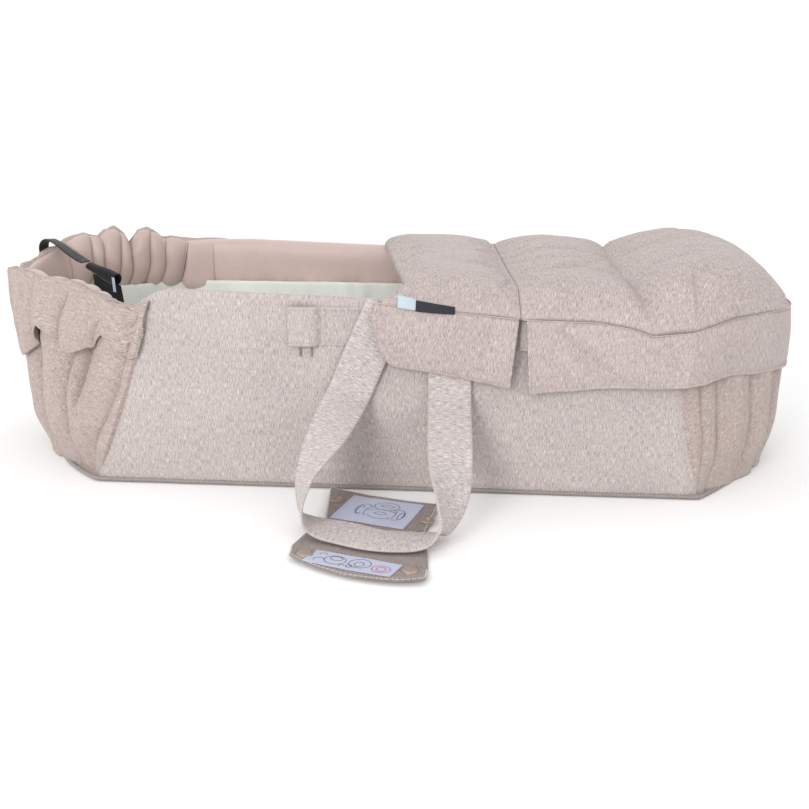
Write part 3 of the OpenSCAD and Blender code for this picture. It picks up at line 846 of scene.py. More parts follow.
def head_lining_grid():
    t = even_t(440)[:, None] * 0.9
    w = np.linspace(0, 1, 70)[None, :]
    q = (t + 1) + 0.010 * value_noise(t * 5, w * 3, 41)
    crown = pleats(q, LINING, 0.5, 0.05)
    plain = ease(0.55, 0.70, q) * (1 - ease(1.36, 1.44, q))
    over = np.clip(w / 0.2, 0, 1)
    down = np.clip((w - 0.2) / 0.8, 0, 1)
    rim = rim_height(t) - 1.0
    lower = 149 - 7.0 * crown * (1 - plain) - 16 * plain
    thick = (5.5 + 8.5 * crown) * (1 - plain) + 5.0 * plain
    roll = np.sin(PI * down**0.8) ** 0.6
    deep = -5.0 - thick * roll - 3.0 * over
    wrinkle = 1.1 * value_noise(t * 22, w * 3.2, 42) * (1 - plain)
    wrinkle = wrinkle + 1.6 * value_noise(t * 4, w * 2, 43) * plain
    deep = deep + wrinkle * np.sin(PI * down) + 3.5 * (1 - over)
    z = rim + 3.0 * np.sin(PI / 2 * over) * crown * (1 - down) - (rim - lower) * down
    x, y = head_xy(t, np.clip(z, 0, 206), deep)
    return stack(x, y, z + 0 * x)


cloth_piece("head_lining_satin", head_lining_grid(), 1.4, mat_lining, held="gathered",
            on=("head_gathered_cloth",), body="cot", slot="tan_lining", nodes=("head_lining",))
t_rim = even_t(240) * 0.97
x_rim, y_rim = head_xy(t_rim, rim_height(t_rim), 1.0 - 1.8 * (1 - pleats(t_rim + 1, LINING, 0.5, 0.05)))
rim_line = stack(x_rim, y_rim, rim_height(t_rim) + 2.2)
tube_piece("head_rim_edge", rim_line, 1.5, mat_gather, body="cot", slot="heather_fabric")
x_rim, y_rim = head_xy(t_rim, rim_height(t_rim), -3.2)
stitching("head_rim_stitches", [stack(x_rim, y_rim, rim_height(t_rim) + 1.9)], mat_dark_thread_and_slit_shade,
          "cot", 3.2, 2.2)


# Bumpers: satin rolls along the top inside of each side, carried round the head corner
def bumper(name, side, top_at, **to):
    t = np.linspace(0.885, 1.0, 24)
    corner = np.stack(head_xy(t, 165.0), axis=1)
    line = np.vstack([corner, [[x, HALF_W] for x in np.linspace(-228, 282, 60)]])
    line, run = resample(np.column_stack([line, 0 * line[:, 0]]), 3.2)
    x, y = line[:, :1], line[:, 1:2]
    inward = np.stack([run[:, 1], -run[:, 0]], axis=1)
    far = np.arange(len(line))[:, None] * 3.2
    a = np.linspace(0, 2 * PI, 57)[None, :]
    top = np.interp(far, top_at[0], top_at[1])
    low = 136 + 1.6 * value_noise(far / 21, 0.0, 51 + side)
    left = np.minimum(far, far[-1, 0] - far)
    end = np.sin(PI / 2 * np.clip(left / 14, 0.02, 1))
    mid, half = (top + low) / 2, (top - low) / 2 * (0.55 + 0.45 * end)
    c, s = np.cos(a), np.sin(a)
    z = mid + half * np.sign(s) * np.abs(s) ** 0.75
    face = np.clip(c, 0, 1) ** 0.6
    pucker = pleats(far / 22 + 0.5 * value_noise(far / 20, 0 * a, 52), np.arange(0, 40.0), 0.8, 1)
    lower = ease(0.15, 0.8, (mid - z) / half) * face
    depth = 6.0 + 11.5 * face * end - 1.0 * np.clip(-c, 0, 1)
    depth = depth + (pucker - 0.6) * 2.2 * lower + 0.9 * value_noise(far / 26, z / 18, 53) * face
    depth = depth + 1.5 * np.exp(-far / 25) * np.abs(value_noise(far / 7, z / 30, 54)) * face
    grid = stack(x + inward[:, :1] * depth, side * (y + inward[:, 1:] * depth), z)
    weave = stack(far * MM + 0 * a, a * 20 * MM + 0 * far)
    grid[:, -1] = grid[:, 0]
    points = grid.reshape(-1, 3)
    faces = quads(*grid.shape[:2]).tolist()
    cols = grid.shape[1]
    faces += [list(range(cols - 2, -1, -1)), [len(points) - cols + j for j in range(cols - 1)]]
    if side < 0:
        faces = [f[::-1] for f in faces]
    return make(name, points, faces, mat_satin, weave.reshape(-1, 2), "cot", "tan_lining", **to)


rear_bumper = bumper("rear_bumper_roll", 1, ([0, 20, 90, 250, 600], [196, 195, 196.5, 191, 180]),
                     nodes=("rear_bumper",))
front_bumper = bumper("front_bumper_roll", -1, ([0, 60, 100, 250, 600], [170, 172, 182, 180, 177]),
                      nodes=("front_bumper",))


# Jersey liner round the inside, and the mattress
def liner_loop(count, inset, z, ripple):
    t = np.linspace(-1, 1, count)
    out = []
    for place in (head_xy, foot_xy):
        x, y = place(-t if place is head_xy else t, z, -inset)
        out.append(np.stack([x, y * (HALF_W - inset) / HALF_W], axis=1))
    return np.vstack([out[0], out[1], out[0][:1]]) * (1 + ripple)


def liner_grid():
    rows = []
    levels = np.concatenate([np.linspace(7, 128, 16), np.linspace(132, 149, 5)])
    base = resample(np.column_stack([liner_loop(90, 10.5, 60.0, 0.0), np.zeros(181)]), 4.2)
    run, way = base[0], base[1]
    inward = np.cross(way, [0, 0, 1.0])
    k = np.arange(len(run))
    for level in levels:
        ripple = 1.3 * value_noise(k / 5.5, level / 40, 61)
        ripple = ripple + 1.6 * value_noise(k / 2.3, level / 90, 62) * ease(60, 130, level)
        row = run + inward * (-1.5 + ripple)[:, None]
        x = row[:, 0].copy()
        row[:, 0] += 5.0 * ease(-250, -320, x) + 3.0 * ease(60, 10, level) * ease(-250, -330, x)
        row[:, 2] = level
        rows.append(row)
    return np.array(rows)


cloth_piece("jersey_liner", liner_grid(), 1.3, mat_liner, flip=False, held="hung",
            on=("front_panel_cloth", "rear_panel_cloth"), body="cot", slot="white_liner",
            nodes=("inner_liner",))


def pillow_case(name, xs, ys, top, bottom, material, weave, **to):
    """A closed case of two grids that share their border; top and bottom are heights on the grid."""
    rows, cols = xs.shape
    up = stack(xs, ys, top).reshape(-1, 3)
    down = stack(xs, ys, bottom).reshape(-1, 3)
    border = np.zeros((rows, cols), bool)
    border[[0, -1], :] = True
    border[:, [0, -1]] = True
    border = border.ravel()
    up[border] = (up[border] + down[border]) / 2
    index = np.arange(rows * cols)
    under = index.copy()
    under[~border] = rows * cols + np.arange((~border).sum())
    face = quads(rows, cols)
    points = np.vstack([up, down[~border]])
    faces = np.vstack([face, under[face][:, ::-1]])
    uv = np.vstack([weave.reshape(-1, 2), weave.reshape(-1, 2)[~border]])
    obj = make(name, points, faces, material, uv, **to)
    return obj, border, len(index)


def mattress():
    s = np.linspace(-1, 1, 110)[:, None]
    t = np.linspace(-1, 1, 46)[None, :]
    y = 125.0 * t * (1 + 0 * s)
    reach_head = 268 + (366 - 268) * (1 - np.abs(t) ** 2.3)
    reach_foot = 268 + (362 - 268) * (1 - np.abs(t) ** 1.9)
    x = np.where(s < 0, s * reach_head, s * reach_foot)
    edge = (1 - np.abs(s) ** 14) ** 0.5 * (1 - np.abs(t) ** 10) ** 0.5
    top = 18.5 + 10.5 * edge + 0.8 * value_noise(x / 60, y / 60, 71)
    bottom = 18.5 - 11.5 * edge
    return pillow_case("mattress_pad", x, y, top, bottom, mat_mattress, stack(x * MM, y * MM), body="cot",
                       slot="mattress_cover", nodes=("mattress",))


pad, _, pad_count = mattress()
puff(pad, np.arange(len(pad.data.vertices)) >= pad_count, 2.0, 5.0, 0.01)


# ---- Foot cover: two quilted cases that meet at the fold ---------------------------------
def fold_at(y):
    """Where the cover folds, as x at each y."""
    return 104.0 - 0.0962 * y


def head_edge(y):
    """The flap's free edge, rounded at its front corner."""
    corner = 13 - 22 * (np.clip(-121 - y, 0, None) / 34) ** 1.5
    return np.where(y < -121, corner, 13 - 0.178 * (y + 121))


def cover_reach(y):
    """The cover's curved foot end."""
    return COVER_SIDE + (COVER_END - COVER_SIDE) * (1 - np.abs(y / COVER_HALF_W) ** 1.9)


def second_quilt(y):
    """The sewn channel across the foot part."""
    return np.interp(y, [-155, -148, -115, -64, 0, 155], [236, 233, 222, 220, 216, 216])


def seam_height(x):
    """Height of the seam between the cover's top and its skirts."""
    return np.interp(x, [-20, -9, 60, 127, 185, 215, 236, 250, 277, 311, 350, 390],
                     [183, 182, 175, 169, 168, 163, 156.5, 158, 161, 167, 166, 161])


def cover_crown(x, y):
    """Height of the cover's quilted top away from its rounded edges."""
    hump = 20.5 * bump_curve(x, HUMP_X - 2, 50) * (1 - 0.33 * (y / COVER_HALF_W) ** 2)
    tip = 40 * (np.clip(x - 322, 0, None) / 68) ** 1.9
    across = x - second_quilt(y)
    groove = 7.5 * np.exp(-np.abs(across) / 10) + 1.5 * np.exp(-np.abs(across) / 40) * (across < 0)
    pillow = 1.5 * np.sin(PI * np.clip((x - fold_at(y)) / (second_quilt(y) - fold_at(y)), 0, 1)) ** 0.7
    slope = 2.0 * (1 - y / COVER_HALF_W) * -1.0
    return COVER_TOP - 2.5 + hump - tip - groove + pillow + slope


def edge_round(x, y):
    """0 at the cover's border, rising to 1 on its flat middle."""
    rim = np.abs(y / COVER_HALF_W) ** 1.9 + np.clip((x - COVER_SIDE) / (COVER_END - COVER_SIDE), 0, None)
    inside = np.clip((1 - rim) / 0.40, 0, 1)
    return (1 - (1 - inside) ** 2.3) ** 0.55


def wrinkles(x, y, seed):
    """Shallow crumples, wider than they are deep."""
    return (2.0 * value_noise(x / 34 + y / 60, y / 42 - x / 90, seed)
            + 0.9 * value_noise(x / 15 + y / 22, y / 24 - x / 30, seed + 1))


def diagonal_fold(x, y, start, end, width, depth):
    """A soft furrow between two plan points, fading at its ends."""
    a, b = np.array(start, float), np.array(end, float)
    d = b - a
    size = np.hypot(*d)
    along = ((x - a[0]) * d[0] + (y - a[1]) * d[1]) / size**2
    off = ((x - a[0]) * -d[1] + (y - a[1]) * d[0]) / size
    return -depth * np.exp(-((off / width) ** 2)) * np.sin(PI * np.clip(along, 0, 1)) ** 0.6


def cover_top_at(x, y):
    """Height of the cover's outer face, with its pinches and diagonal folds."""
    seam = seam_height(x)
    body = cover_crown(x, y) - 3.5 * np.exp(-np.abs(x - fold_at(y)) / 13.0)
    pinch = -6.5 * np.exp(-(((x - fold_at(y) - 2) / 11) ** 2)) * ease(-118, -150, y)
    pinch = pinch - 6.0 * np.exp(-(((x - second_quilt(y)) / 12) ** 2)) * ease(-105, -148, y)
    folds = diagonal_fold(x, y, (205, -20), (128, -100), 9, 3.5)
    folds = folds + diagonal_fold(x, y, (196, -60), (150, -128), 7, 2.2)
    folds = folds + diagonal_fold(x, y, (100, 70), (62, 120), 8, 2.0)
    folds = folds + diagonal_fold(x, y, (212, 60), (262, -30), 13, 2.5)
    folds = folds + diagonal_fold(x, y, (84, -150), (40, -110), 8, 1.8)
    folds = folds + diagonal_fold(x, y, (330, -118), (268, -60), 14, 2.2)
    grown = edge_round(x, y)
    return seam + (body + pinch + folds + 0.7 * wrinkles(x, y, 81) - seam) * grown


def quilt_case(name, foot, rows, cols, body, slot, nodes):
    """One padded part of the cover, blown up between its seams."""
    y = (COVER_HALF_W * np.linspace(-1, 1, cols))[None, :]
    squeeze = np.sign(y) * (1 - (1 - np.abs(y / COVER_HALF_W)) ** 1.35) * COVER_HALF_W
    y = squeeze + np.zeros((rows, 1))
    s = np.linspace(0, 1, rows)[:, None]
    if foot:
        s = 1 - (1 - s) ** 1.25
        x0, x1 = fold_at(y) + 0.15, cover_reach(y)
    else:
        s = 1 - (1 - s) ** 1.1
        x0, x1 = head_edge(y), fold_at(y) - 0.15
    x = x0 + (x1 - x0) * s
    top = cover_top_at(x, y)
    if foot:
        closing = np.clip((x - x0) / 4.0, 0, 1)
    else:
        roll = (1 - (1 - np.clip((x - x0) / 8.0, 0, 1)) ** 2) ** 0.5
        top = top - 8.5 * (1 - roll)
        closing = np.clip((x1 - x) / 4.0, 0, 1) * np.clip((x - x0) / 5.0, 0, 1)
    thick = 9.0 * edge_round(x, y) ** 0.7 * (1 - (1 - closing) ** 2) ** 0.5
    weave = stack(x * MM, yarn_map(stack(x, y, top))[..., 1])
    obj, border, count = pillow_case(name, x, y, top, top - thick, mat_cover_shaded, weave,
                                     body=body, slot=slot, nodes=nodes)
    across = np.minimum(np.abs(x - second_quilt(y)), np.abs(x - fold_at(y)) - 3.0).ravel()
    held = np.ones(len(obj.data.vertices), bool)
    held[:count] = border | (across < 2.2) | (edge_round(x, y).ravel() < 0.35)
    puff(obj, held, 4.0, 7.0, grow=0.025, stiffness=9.0)
    return obj


foot_quilt = quilt_case("cover_foot_quilt", True, 132, 140, "cot", "heather_fabric",
                        ("cover_foot_top", "cover_foot_wadding", "cover_foot_lining"))
flap_quilt = quilt_case("cover_flap_quilt", False, 70, 140, "cover_flap", "heather_fabric",
                        ("cover_flap_top", "cover_flap_wadding", "cover_flap_lining"))


# Skirts: hemmed bands that hang from the seam round the cover
def foot_hem(x):
    """Height of the foot skirt's hem."""
    return np.interp(x, [110, 134, 192, 285, 311, 345, 390], [100.5, 102, 108, 111, 115, 109, 101])


def skirt_plan(count, out):
    """The cover's curved end, from front to rear."""
    s = np.linspace(-1, 1, count)
    x = COVER_SIDE + (COVER_END + out - COVER_SIDE) * (1 - np.abs(s) ** 1.9)
    return np.stack([x, (COVER_HALF_W + out) * s], axis=1)


def cover_plan(gap, counts):
    """The cover's outline past the fold: along the front, round the end and back along the rear."""
    front = np.linspace(fold_at(-COVER_HALF_W) + gap, COVER_SIDE - 2, counts[0])
    rear = np.linspace(COVER_SIDE - 2, fold_at(COVER_HALF_W) + gap, counts[2])
    return np.vstack([
        [[x, -COVER_HALF_W] for x in front],
        skirt_plan(counts[1], 0.0),
        [[x, COVER_HALF_W] for x in rear],
    ])


def foot_skirt_grid():
    plan = cover_plan(6, (70, 130, 80))
    line = resample(np.column_stack([plan, np.zeros(len(plan))]), 2.3)[0]
    way = unit(np.gradient(line, axis=0))
    out_way = np.stack([way[:, 1], -way[:, 0]], axis=1)
    w = np.linspace(0, 1, 40)[None, :]
    x, y = line[:, :1], line[:, 1:2]
    top = seam_height(x) + 1.0
    hem = foot_hem(x) + 0.8 * value_noise(x / 24, y / 24, 91)
    z = hem + (top - hem) * w
    part = 1 - w
    run = np.arange(len(line))[:, None] * 2.3
    out = -1.3 * (1 - ease(0.0, 0.05, part)) + 2.2 * np.sin(PI * np.clip(part, 0, 1)) ** 0.7
    out = out + 2.6 * part * value_noise(run / 46, part * 1.6, 92)
    out = out + 1.1 * value_noise(run / 15, part * 2.6, 93)
    front_side = (y < -150) * 1.0
    out = out + diagonal_fold(x, z, (150, 160), (212, 108), 6.5, 5.2) * front_side
    out = out - diagonal_fold(x, z, (162, 163), (222, 116), 6.0, 2.6) * front_side
    out = out + diagonal_fold(x, z, (134, 140), (166, 108), 4.5, 2.4) * front_side
    out = out + diagonal_fold(x, z, (236, 157), (272, 116), 6.5, 3.4) * front_side
    out = out + diagonal_fold(x, z, (206, 150), (238, 118), 5.5, 2.2) * front_side
    out = out - 1.0 * bump_curve(z - hem, 5.0, 1.6)
    ends = np.minimum(run, run[-1] - run)
    out = out + 1.0 * (1 - ease(0, 16, ends)) * part
    lean = 4.0 * part * (np.exp(-run / 12.0) - np.exp(-(run[-1] - run) / 12.0))
    x = x + lean
    gx = x + out_way[:, :1] * out
    gy = y + out_way[:, 1:2] * out
    return stack(gx, gy, z)


foot_skirt = foot_skirt_grid()
# The foot skirt takes the darker cover heather as painted shade where the light falls off toward the foot.
cloth_piece("cover_foot_skirt_cloth", foot_skirt, 2.0, mat_cover_shaded, flip=False, held="hung",
            on=("cover_foot_quilt",), body="cot",
            slot="heather_fabric", nodes=("cover_foot_skirt",))
hem_rows = foot_skirt[:, 2] + surface_normals(foot_skirt)[:, 2] * 0.25
edge_a = foot_skirt[1, 2:-2] + surface_normals(foot_skirt)[1, 2:-2] * 0.25
stitching("cover_foot_hem_stitches", [hem_rows[1:-1], edge_a], mat_thread, "cot", 3.3, 2.3, 0.36)


def flap_skirt_grid(side):
    shift = 0.0 if side < 0 else -26.0
    slit = fold_at(side * COVER_HALF_W)
    u = np.linspace(0, 1, 84)[:, None]
    w = np.linspace(0, 1, 44)[None, :]
    left = -9.5 + shift - 3.2 * np.sin(PI * np.clip(1 - w, 0, 1)) ** 0.8
    right = slit - 2.0 - 6.5 * (1 - w)
    x = left + (right - left) * u
    hem = np.interp(x, [-12 + shift, 2 + shift, 47 + shift, slit - 7], [125, 124.5, 118.5, 105.5])
    round_off = 22 * (1 - np.sqrt(np.clip(1 - (1 - np.clip((x - left) / 20, 0, 1)) ** 2, 0, 1)))
    hem = hem + round_off
    top = seam_height(x) + 1.0
    z = hem + (top - hem) * w
    part = 1 - w
    out = -1.3 * (1 - ease(0.0, 0.06, part)) + 2.0 * np.sin(PI * np.clip(part, 0, 1)) ** 0.7
    out = out + 1.8 * part * value_noise(x / 38, part * 1.5, 95 + side)
    out = out + 0.8 * value_noise(x / 14, part * 2.4, 96)
    out = out + diagonal_fold(x, z, (100 + shift, 172), (86 + shift, 128), 6, 1.8)
    out = out + diagonal_fold(x, z, (88 + shift, 176), (60 + shift, 150), 7, 1.6)
    out = out + 2.0 * (1 - ease(0, 0.12, u)) * np.sin(PI * w)
    flare = 9.0 * part * (x - left) / (right - left) if side > 0 else 0.0
    return stack(x, side * (COVER_HALF_W + out + flare), z)


flap_skirts = {}
for side, place in ((-1, "front"), (1, "rear")):
    grid = flap_skirt_grid(side)
    flap_skirts[place] = cloth_piece("cover_flap_skirt_cloth_" + place, grid, 2.0, mat_cover_shaded,
                                     flip=side > 0, held="hung", on=("cover_flap_quilt",),
                                     weave=stack(grid[..., 0] * MM, grid[..., 2] * MM), body="cover_flap",
                                     slot="heather_fabric", nodes=("cover_flap_skirt_" + place,))
    lift = surface_normals(grid) * 0.3 * (-side)
    face = grid + lift
    path = np.vstack([face[2, -3:2:-1], face[2:-3, 2], face[-3, 2:-2]])
    stitching("cover_flap_hem_stitches_" + place, [path], mat_thread, "cover_flap", 3.3, 2.3, 0.36)


# Corded seam between the quilts and their skirts
def seam_path(x, y):
    return stack(x, y, seam_height(x) + 0.4)


x_seam = np.linspace(-9, fold_at(-COVER_HALF_W) - 2, 60)
tube_piece("cover_flap_seam_front", seam_path(x_seam, -COVER_HALF_W - 0.1 + 0 * x_seam), 0.5, mat_thread,
           sides=6, body="cover_flap")
x_seam = np.linspace(-35, fold_at(COVER_HALF_W) - 2, 60)
tube_piece("cover_flap_seam_rear", seam_path(x_seam, COVER_HALF_W + 0.1 + 0 * x_seam), 0.5, mat_thread,
           sides=6, body="cover_flap")
seam_plan = cover_plan(2, (60, 90, 60))
tube_piece("cover_foot_seam", stack(seam_plan[:, 0], seam_plan[:, 1], seam_height(seam_plan[:, 0]) + 0.4),
           0.5, mat_thread, sides=6, body="cot")

# Elastic loops that bridge the slits, and the plain woven tag
for side, place in ((-1, "front"), (1, "rear")):
    x0 = fold_at(side * COVER_HALF_W)
    loop = stack(np.linspace(x0 - 5, x0 + 12, 14), side * (151.5 + 0.8 * np.sin(np.linspace(0, PI, 14))),
                 171.0 + 1.2 * np.sin(np.linspace(0, PI, 14)))
    tube_piece("slit_elastic_" + place, loop, 1.7, mat_black, sides=10, flat=0.7, body="cot",
               slot="black_elastic", nodes=("slit_elastics",))


def ribbon(name, corners, material, rows, cols, bow, **to):
    """A small ribbon patch between four corners, given along its lower then upper edge."""
    a, b, c, d = (np.array(p, float) for p in corners)
    u = np.linspace(0, 1, rows)[:, None, None]
    w = np.linspace(0, 1, cols)[None, :, None]
    grid = (a * (1 - u) + b * u) * (1 - w) + (d * (1 - u) + c * u) * w
    grid[..., 1] += bow * np.sin(PI * np.linspace(0, 1, rows))[:, None]
    return cloth_piece(name, grid, 0.7, material, held=None, **to)


ribbon("tag_ribbon_light", ((9, -157.2, 179.5), (25, -157.6, 177.6), (25.5, -155.4, 187.0),
                            (9.6, -154.6, 190.5)), mat_tag_light, 12, 8, -0.6, body="cover_flap",
       slot="sewn_label", nodes=("tag_light",))
ribbon("tag_ribbon_dark", ((25.2, -157.7, 176.6), (60, -157.4, 174.2), (60, -156.2, 180.6),
                           (25.6, -155.6, 186.0)), mat_tag_dark, 20, 8, -0.8, body="cover_flap",
       slot="dark_tag", nodes=("tag_dark",))


# ---- Foot end: gathered cloth under the cover --------------------------------------------
FOOT_VALLEYS = [level(-1.02), [-0.985, -0.95, -0.935, -0.945, -0.955, -0.96, -0.96],
                [-0.93, -0.87, -0.85, -0.86, -0.87, -0.87, -0.87],
                [-0.70, -0.62, -0.60, -0.61, -0.62, -0.62, -0.62],
                [-0.42, -0.38, -0.35, -0.34, -0.33, -0.33, -0.33],
                [-0.14, -0.12, -0.1, -0.08, -0.08, -0.08, -0.08], [0.16, 0.17, 0.17, 0.18, 0.2, 0.2, 0.2],
                [0.5, 0.44, 0.42, 0.41, 0.41, 0.41, 0.41], [0.75, 0.66, 0.63, 0.62, 0.63, 0.63, 0.63],
                [0.92, 0.84, 0.81, 0.8, 0.8, 0.8, 0.8], level(1.02),]


def foot_gather_grid():
    t = even_t(360)[:, None]
    w = np.linspace(0, 1, 70)[None, :]
    z = 1.0 + 150.0 * w
    sway = t + 0.010 * value_noise(t * 6, z / 36, 101)
    fold = drape(sway, z, FOOT_VALLEYS, 0.6, 0.14)
    small = pleats((t + 1) * 2.3 + 0.03 * value_noise(t * 9, z / 25, 104),
                   np.linspace(0, 4.6, 34), 0.8, 0.01)
    high = 0.4 + 0.6 * ease(5, 60, z)
    out = -3.5 + 8.0 * fold * high + 1.5 * small * ease(70, 115, z)
    out = out + 1.0 * value_noise(t * 14, z / 22, 102)
    out = out - 4.0 * (1 - ease(0, 34, z)) * (1 - np.abs(t) ** 8) - 5.0 * ease(0.985, 1.0, np.abs(t))
    out = out + 3.0 * np.sin(PI * np.clip(z / 150, 0, 1)) - 4.0 * ease(120, 150, z)
    x, y = foot_xy(t, z, out)
    lap = 4.0 * ease(0.95, 1.0, np.abs(t)) * np.sin(PI * np.clip((z - 10) / 150, 0, 1))
    return stack(x - lap, y, z + 0 * x)


cloth_piece("foot_gathered_cloth", foot_gather_grid(), 2.0, mat_gather, turn=0.3, held="gathered",
            on=("base_cloth",), body="cot",
            slot="heather_fabric", nodes=("foot_gather", "foot_elastic"))


def foot_lining_grid():
    t = even_t(200)[:, None]
    w = np.linspace(0, 1, 24)[None, :]
    z = 62 + 86 * w
    q = t + 1 + 0.01 * value_noise(t * 5, w * 3, 103)
    deep = -5.5 - 2.6 * pleats(q, np.linspace(0, 2, 22), 0.6, 0.01)
    x, y = foot_xy(t, z, deep)
    return stack(x, y, z + 0 * x)


cloth_piece("foot_lining_satin", foot_lining_grid(), 1.4, mat_lining, flip=True, held="gathered",
            on=("foot_gathered_cloth",), body="cot",
            slot="tan_lining", nodes=("foot_lining",))


# ---- Carrying straps ----------------------------------------------------------------------
# Centre of the strap and its width direction, towards its inner edge
STRAP_ROUTE = np.array([(-1, -147.2, 178, 0.91, 0, -0.41), (-18, -147.4, 140, 0.91, 0, -0.41),
                        (-30, -147.4, 112, 0.92, 0, -0.38), (-36, -150.5, 98, 0.94, -0.02, -0.33),
                        (-43, -178, 85, 0.97, -0.13, -0.2), (-50, -206, 72, 0.95, -0.32, 0.04),
                        (-58, -228, 58, 0.76, -0.58, 0.28), (-64, -241, 45, 0.53, -0.75, 0.41),
                        (-66, -249, 31, 0.33, -0.83, 0.45), (-65, -254, 20, 0.17, -0.9, 0.36),
                        (-57, -256, 12, -0.05, -0.99, 0.14), (-43, -259, 8, -0.22, -0.97, 0),
                        (-27, -264, 7, -0.32, -0.93, -0.04), (-11, -270, 6.5, -0.3, -0.95, -0.04),
                        (4, -274, 6, -0.18, -0.98, -0.02), (19, -275.5, 6, -0.02, -1, -0.02),
                        (35, -275, 6.5, 0.14, -0.99, 0.03), (46, -272, 9, 0.15, -0.97, 0.18),
                        (54, -269.5, 13, 0.05, -0.88, 0.44), (59, -265, 19, -0.22, -0.72, 0.62),
                        (62, -254, 31, -0.57, -0.55, 0.6), (62, -236, 45, -0.86, -0.32, 0.38),
                        (60, -210, 61, -0.98, -0.16, 0.12), (58, -180, 77, -1, -0.07, 0),
                        (56.3, -150.8, 97, -1, 0, 0), (56, -147.4, 112, -1, 0, 0),
                        (55, -147.4, 140, -1, 0, 0), (54, -147.2, 178, -1, 0, 0),])


def strap(name, rear):
    route = spline(STRAP_ROUTE, 300)
    centre, width = route[:, :3], route[:, 3:]
    run = unit(np.gradient(centre, axis=0))
    width = unit(width - (width * run).sum(1, keepdims=True) * run)
    normal = np.cross(run, width)
    w = np.linspace(-1, 1, 15)
    along = np.arange(300)[:, None]
    cup = 0.5 * (1 - w[None, :] ** 2) + 0.35 * value_noise(along / 14, w[None, :] * 1.4, 111)
    wave = 0.4 * value_noise(along / 9, w[None, :] * 0 + 2, 112)
    low = centre[:, 2:3] < 60
    grid = centre[:, None] + width[:, None] * (w * STRAP_W / 2)[None, :, None]
    grid = grid + normal[:, None] * (-STRAP_T / 2 + (cup + wave * 0.6) * low * -1.0)[..., None]
    grid[..., 1] = np.minimum(grid[..., 1], -147.0)
    if rear:
        grid[..., 1] *= -1
        grid[..., 2] = np.maximum(grid[..., 2] - 3.0 * (1 - np.clip(grid[..., 2] / SWING_Z, 0, 1)), 0.6)
    cum = np.concatenate([[0], np.cumsum(np.linalg.norm(np.diff(centre, axis=0), axis=1))])
    weave = stack((w[None, :] * STRAP_W / 2) * MM, cum[:, None] * MM)
    place = "rear" if rear else "front"
    band = cloth_piece(name, grid, STRAP_T - 0.3, mat_strap, weave=weave, flip=not rear, held="hung",
                       on=(place + "_panel_cloth",), slot="strap_fabric",
                       nodes=(place + "_strap_roots", place + "_strap_left", place + "_strap_grip",
                              place + "_strap_right"))
    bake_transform(band)
    inner = surface_normals(grid)
    edges = []
    for j in (0, -1):
        step = grid[:, j] - grid[:, 1 if j == 0 else -2]
        edges.append(grid[:, j] + unit(step) * 0.4 + inner[:, j] * (0.9 if not rear else -0.9))
    stitch = stitching(name + "_overlock", [e[3:-3] for e in edges], mat_thread_pale,
                       None, 2.0, 2.6, 0.5, 0.9)
    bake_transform(stitch)


strap("front_carry_strap", False)
strap("rear_carry_strap", True)
WRAP_TURN = math.radians(-17)


def wrap_at(along, across):
    return np.array([-10 + along * math.cos(WRAP_TURN) - across * math.sin(WRAP_TURN),
                     -250 + along * math.sin(WRAP_TURN) + across * math.cos(WRAP_TURN)])


def between(edge_a, edge_b, rows, cols):
    """Plan points ruled between two edges, each a polyline."""
    a = spline(np.column_stack([edge_a, np.zeros(len(edge_a))]), rows)[:, :2]
    b = spline(np.column_stack([edge_b, np.zeros(len(edge_b))]), rows)[:, :2]
    w = np.linspace(0, 1, cols)[None, :, None]
    return a[:, None] * (1 - w) + b[:, None] * w


def wrap_part(name, edge_a, edge_b, rows, cols, lift, body, nodes, seed):
    plan = between(edge_a, edge_b, rows, cols)
    x, y = plan[..., 0], plan[..., 1]
    z = 2.6 + lift(np.linspace(0, 1, rows)[:, None], np.linspace(0, 1, cols)[None, :])
    z = z + 0.35 * value_noise(x / 16, y / 16, seed)
    grid = stack(x, y, np.maximum(z, 2.3))
    c, s = math.cos(-WRAP_TURN), math.sin(-WRAP_TURN)
    turn = np.array([[c, -s], [s, c]])
    weave = plan @ turn.T * MM
    cloth_piece(name, grid, 2.1, mat_wrap, weave=weave, held="laid", on=("floor",), body=body,
                slot="wrap_fabric", nodes=nodes)
    return grid


wrap_part("grip_wrap_centre", [wrap_at(-46, -47.2), wrap_at(14, -47.2), wrap_at(74, -47.2)],
          [wrap_at(-48, 13.1), wrap_at(0, 13.1), wrap_at(50, 13.1)], 50, 30, lambda u, w: 0 * u * w,
          "front_strap", ("wrap_centre",), 121)
near_grid = wrap_part(
    "grip_wrap_near_flap",
    [(-65, -306), (-54, -314), (-34, -327), (-12, -336.5), (12, -342), (30, -343), (47, -341)],
    [wrap_at(u, -47.8) for u in (-46, -16, 14, 44, 74)], 70, 34,
    lambda u, w: 2.4 * (1 - w) ** 2 + 1.6 * (1 - np.sin(PI * u)) * (1 - w),
    "near_flap", ("wrap_near_flap",), 122)
far_grid = wrap_part(
    "grip_wrap_far_flap",
    [wrap_at(u, 13.6) for u in (-44, -22, 0, 24, 47)],
    [(-54, -157), (-40, -162), (-5, -174), (25, -184), (48, -190)], 64, 44,
    lambda u, w: 2.2 * w**2 + 1.4 * (1 - np.sin(PI * u)) * w,
    "far_flap", ("wrap_far_flap",), 123)
rim_near = np.vstack([near_grid[0, -4::-1], near_grid[:, 0], near_grid[-1, :-3]]) + [0, 0, -0.2]
stitching("grip_wrap_near_overlock", [rim_near], mat_thread_pale, "near_flap", 2.1, 2.8, 0.6, 0.9)
rim_far = np.vstack([far_grid[0], far_grid[:, -1], far_grid[-1, ::-1]]) + [0, 0, -0.2]
stitching("grip_wrap_far_overlock", [rim_far], mat_thread_pale, "far_flap", 2.1, 2.8, 0.6, 0.9)
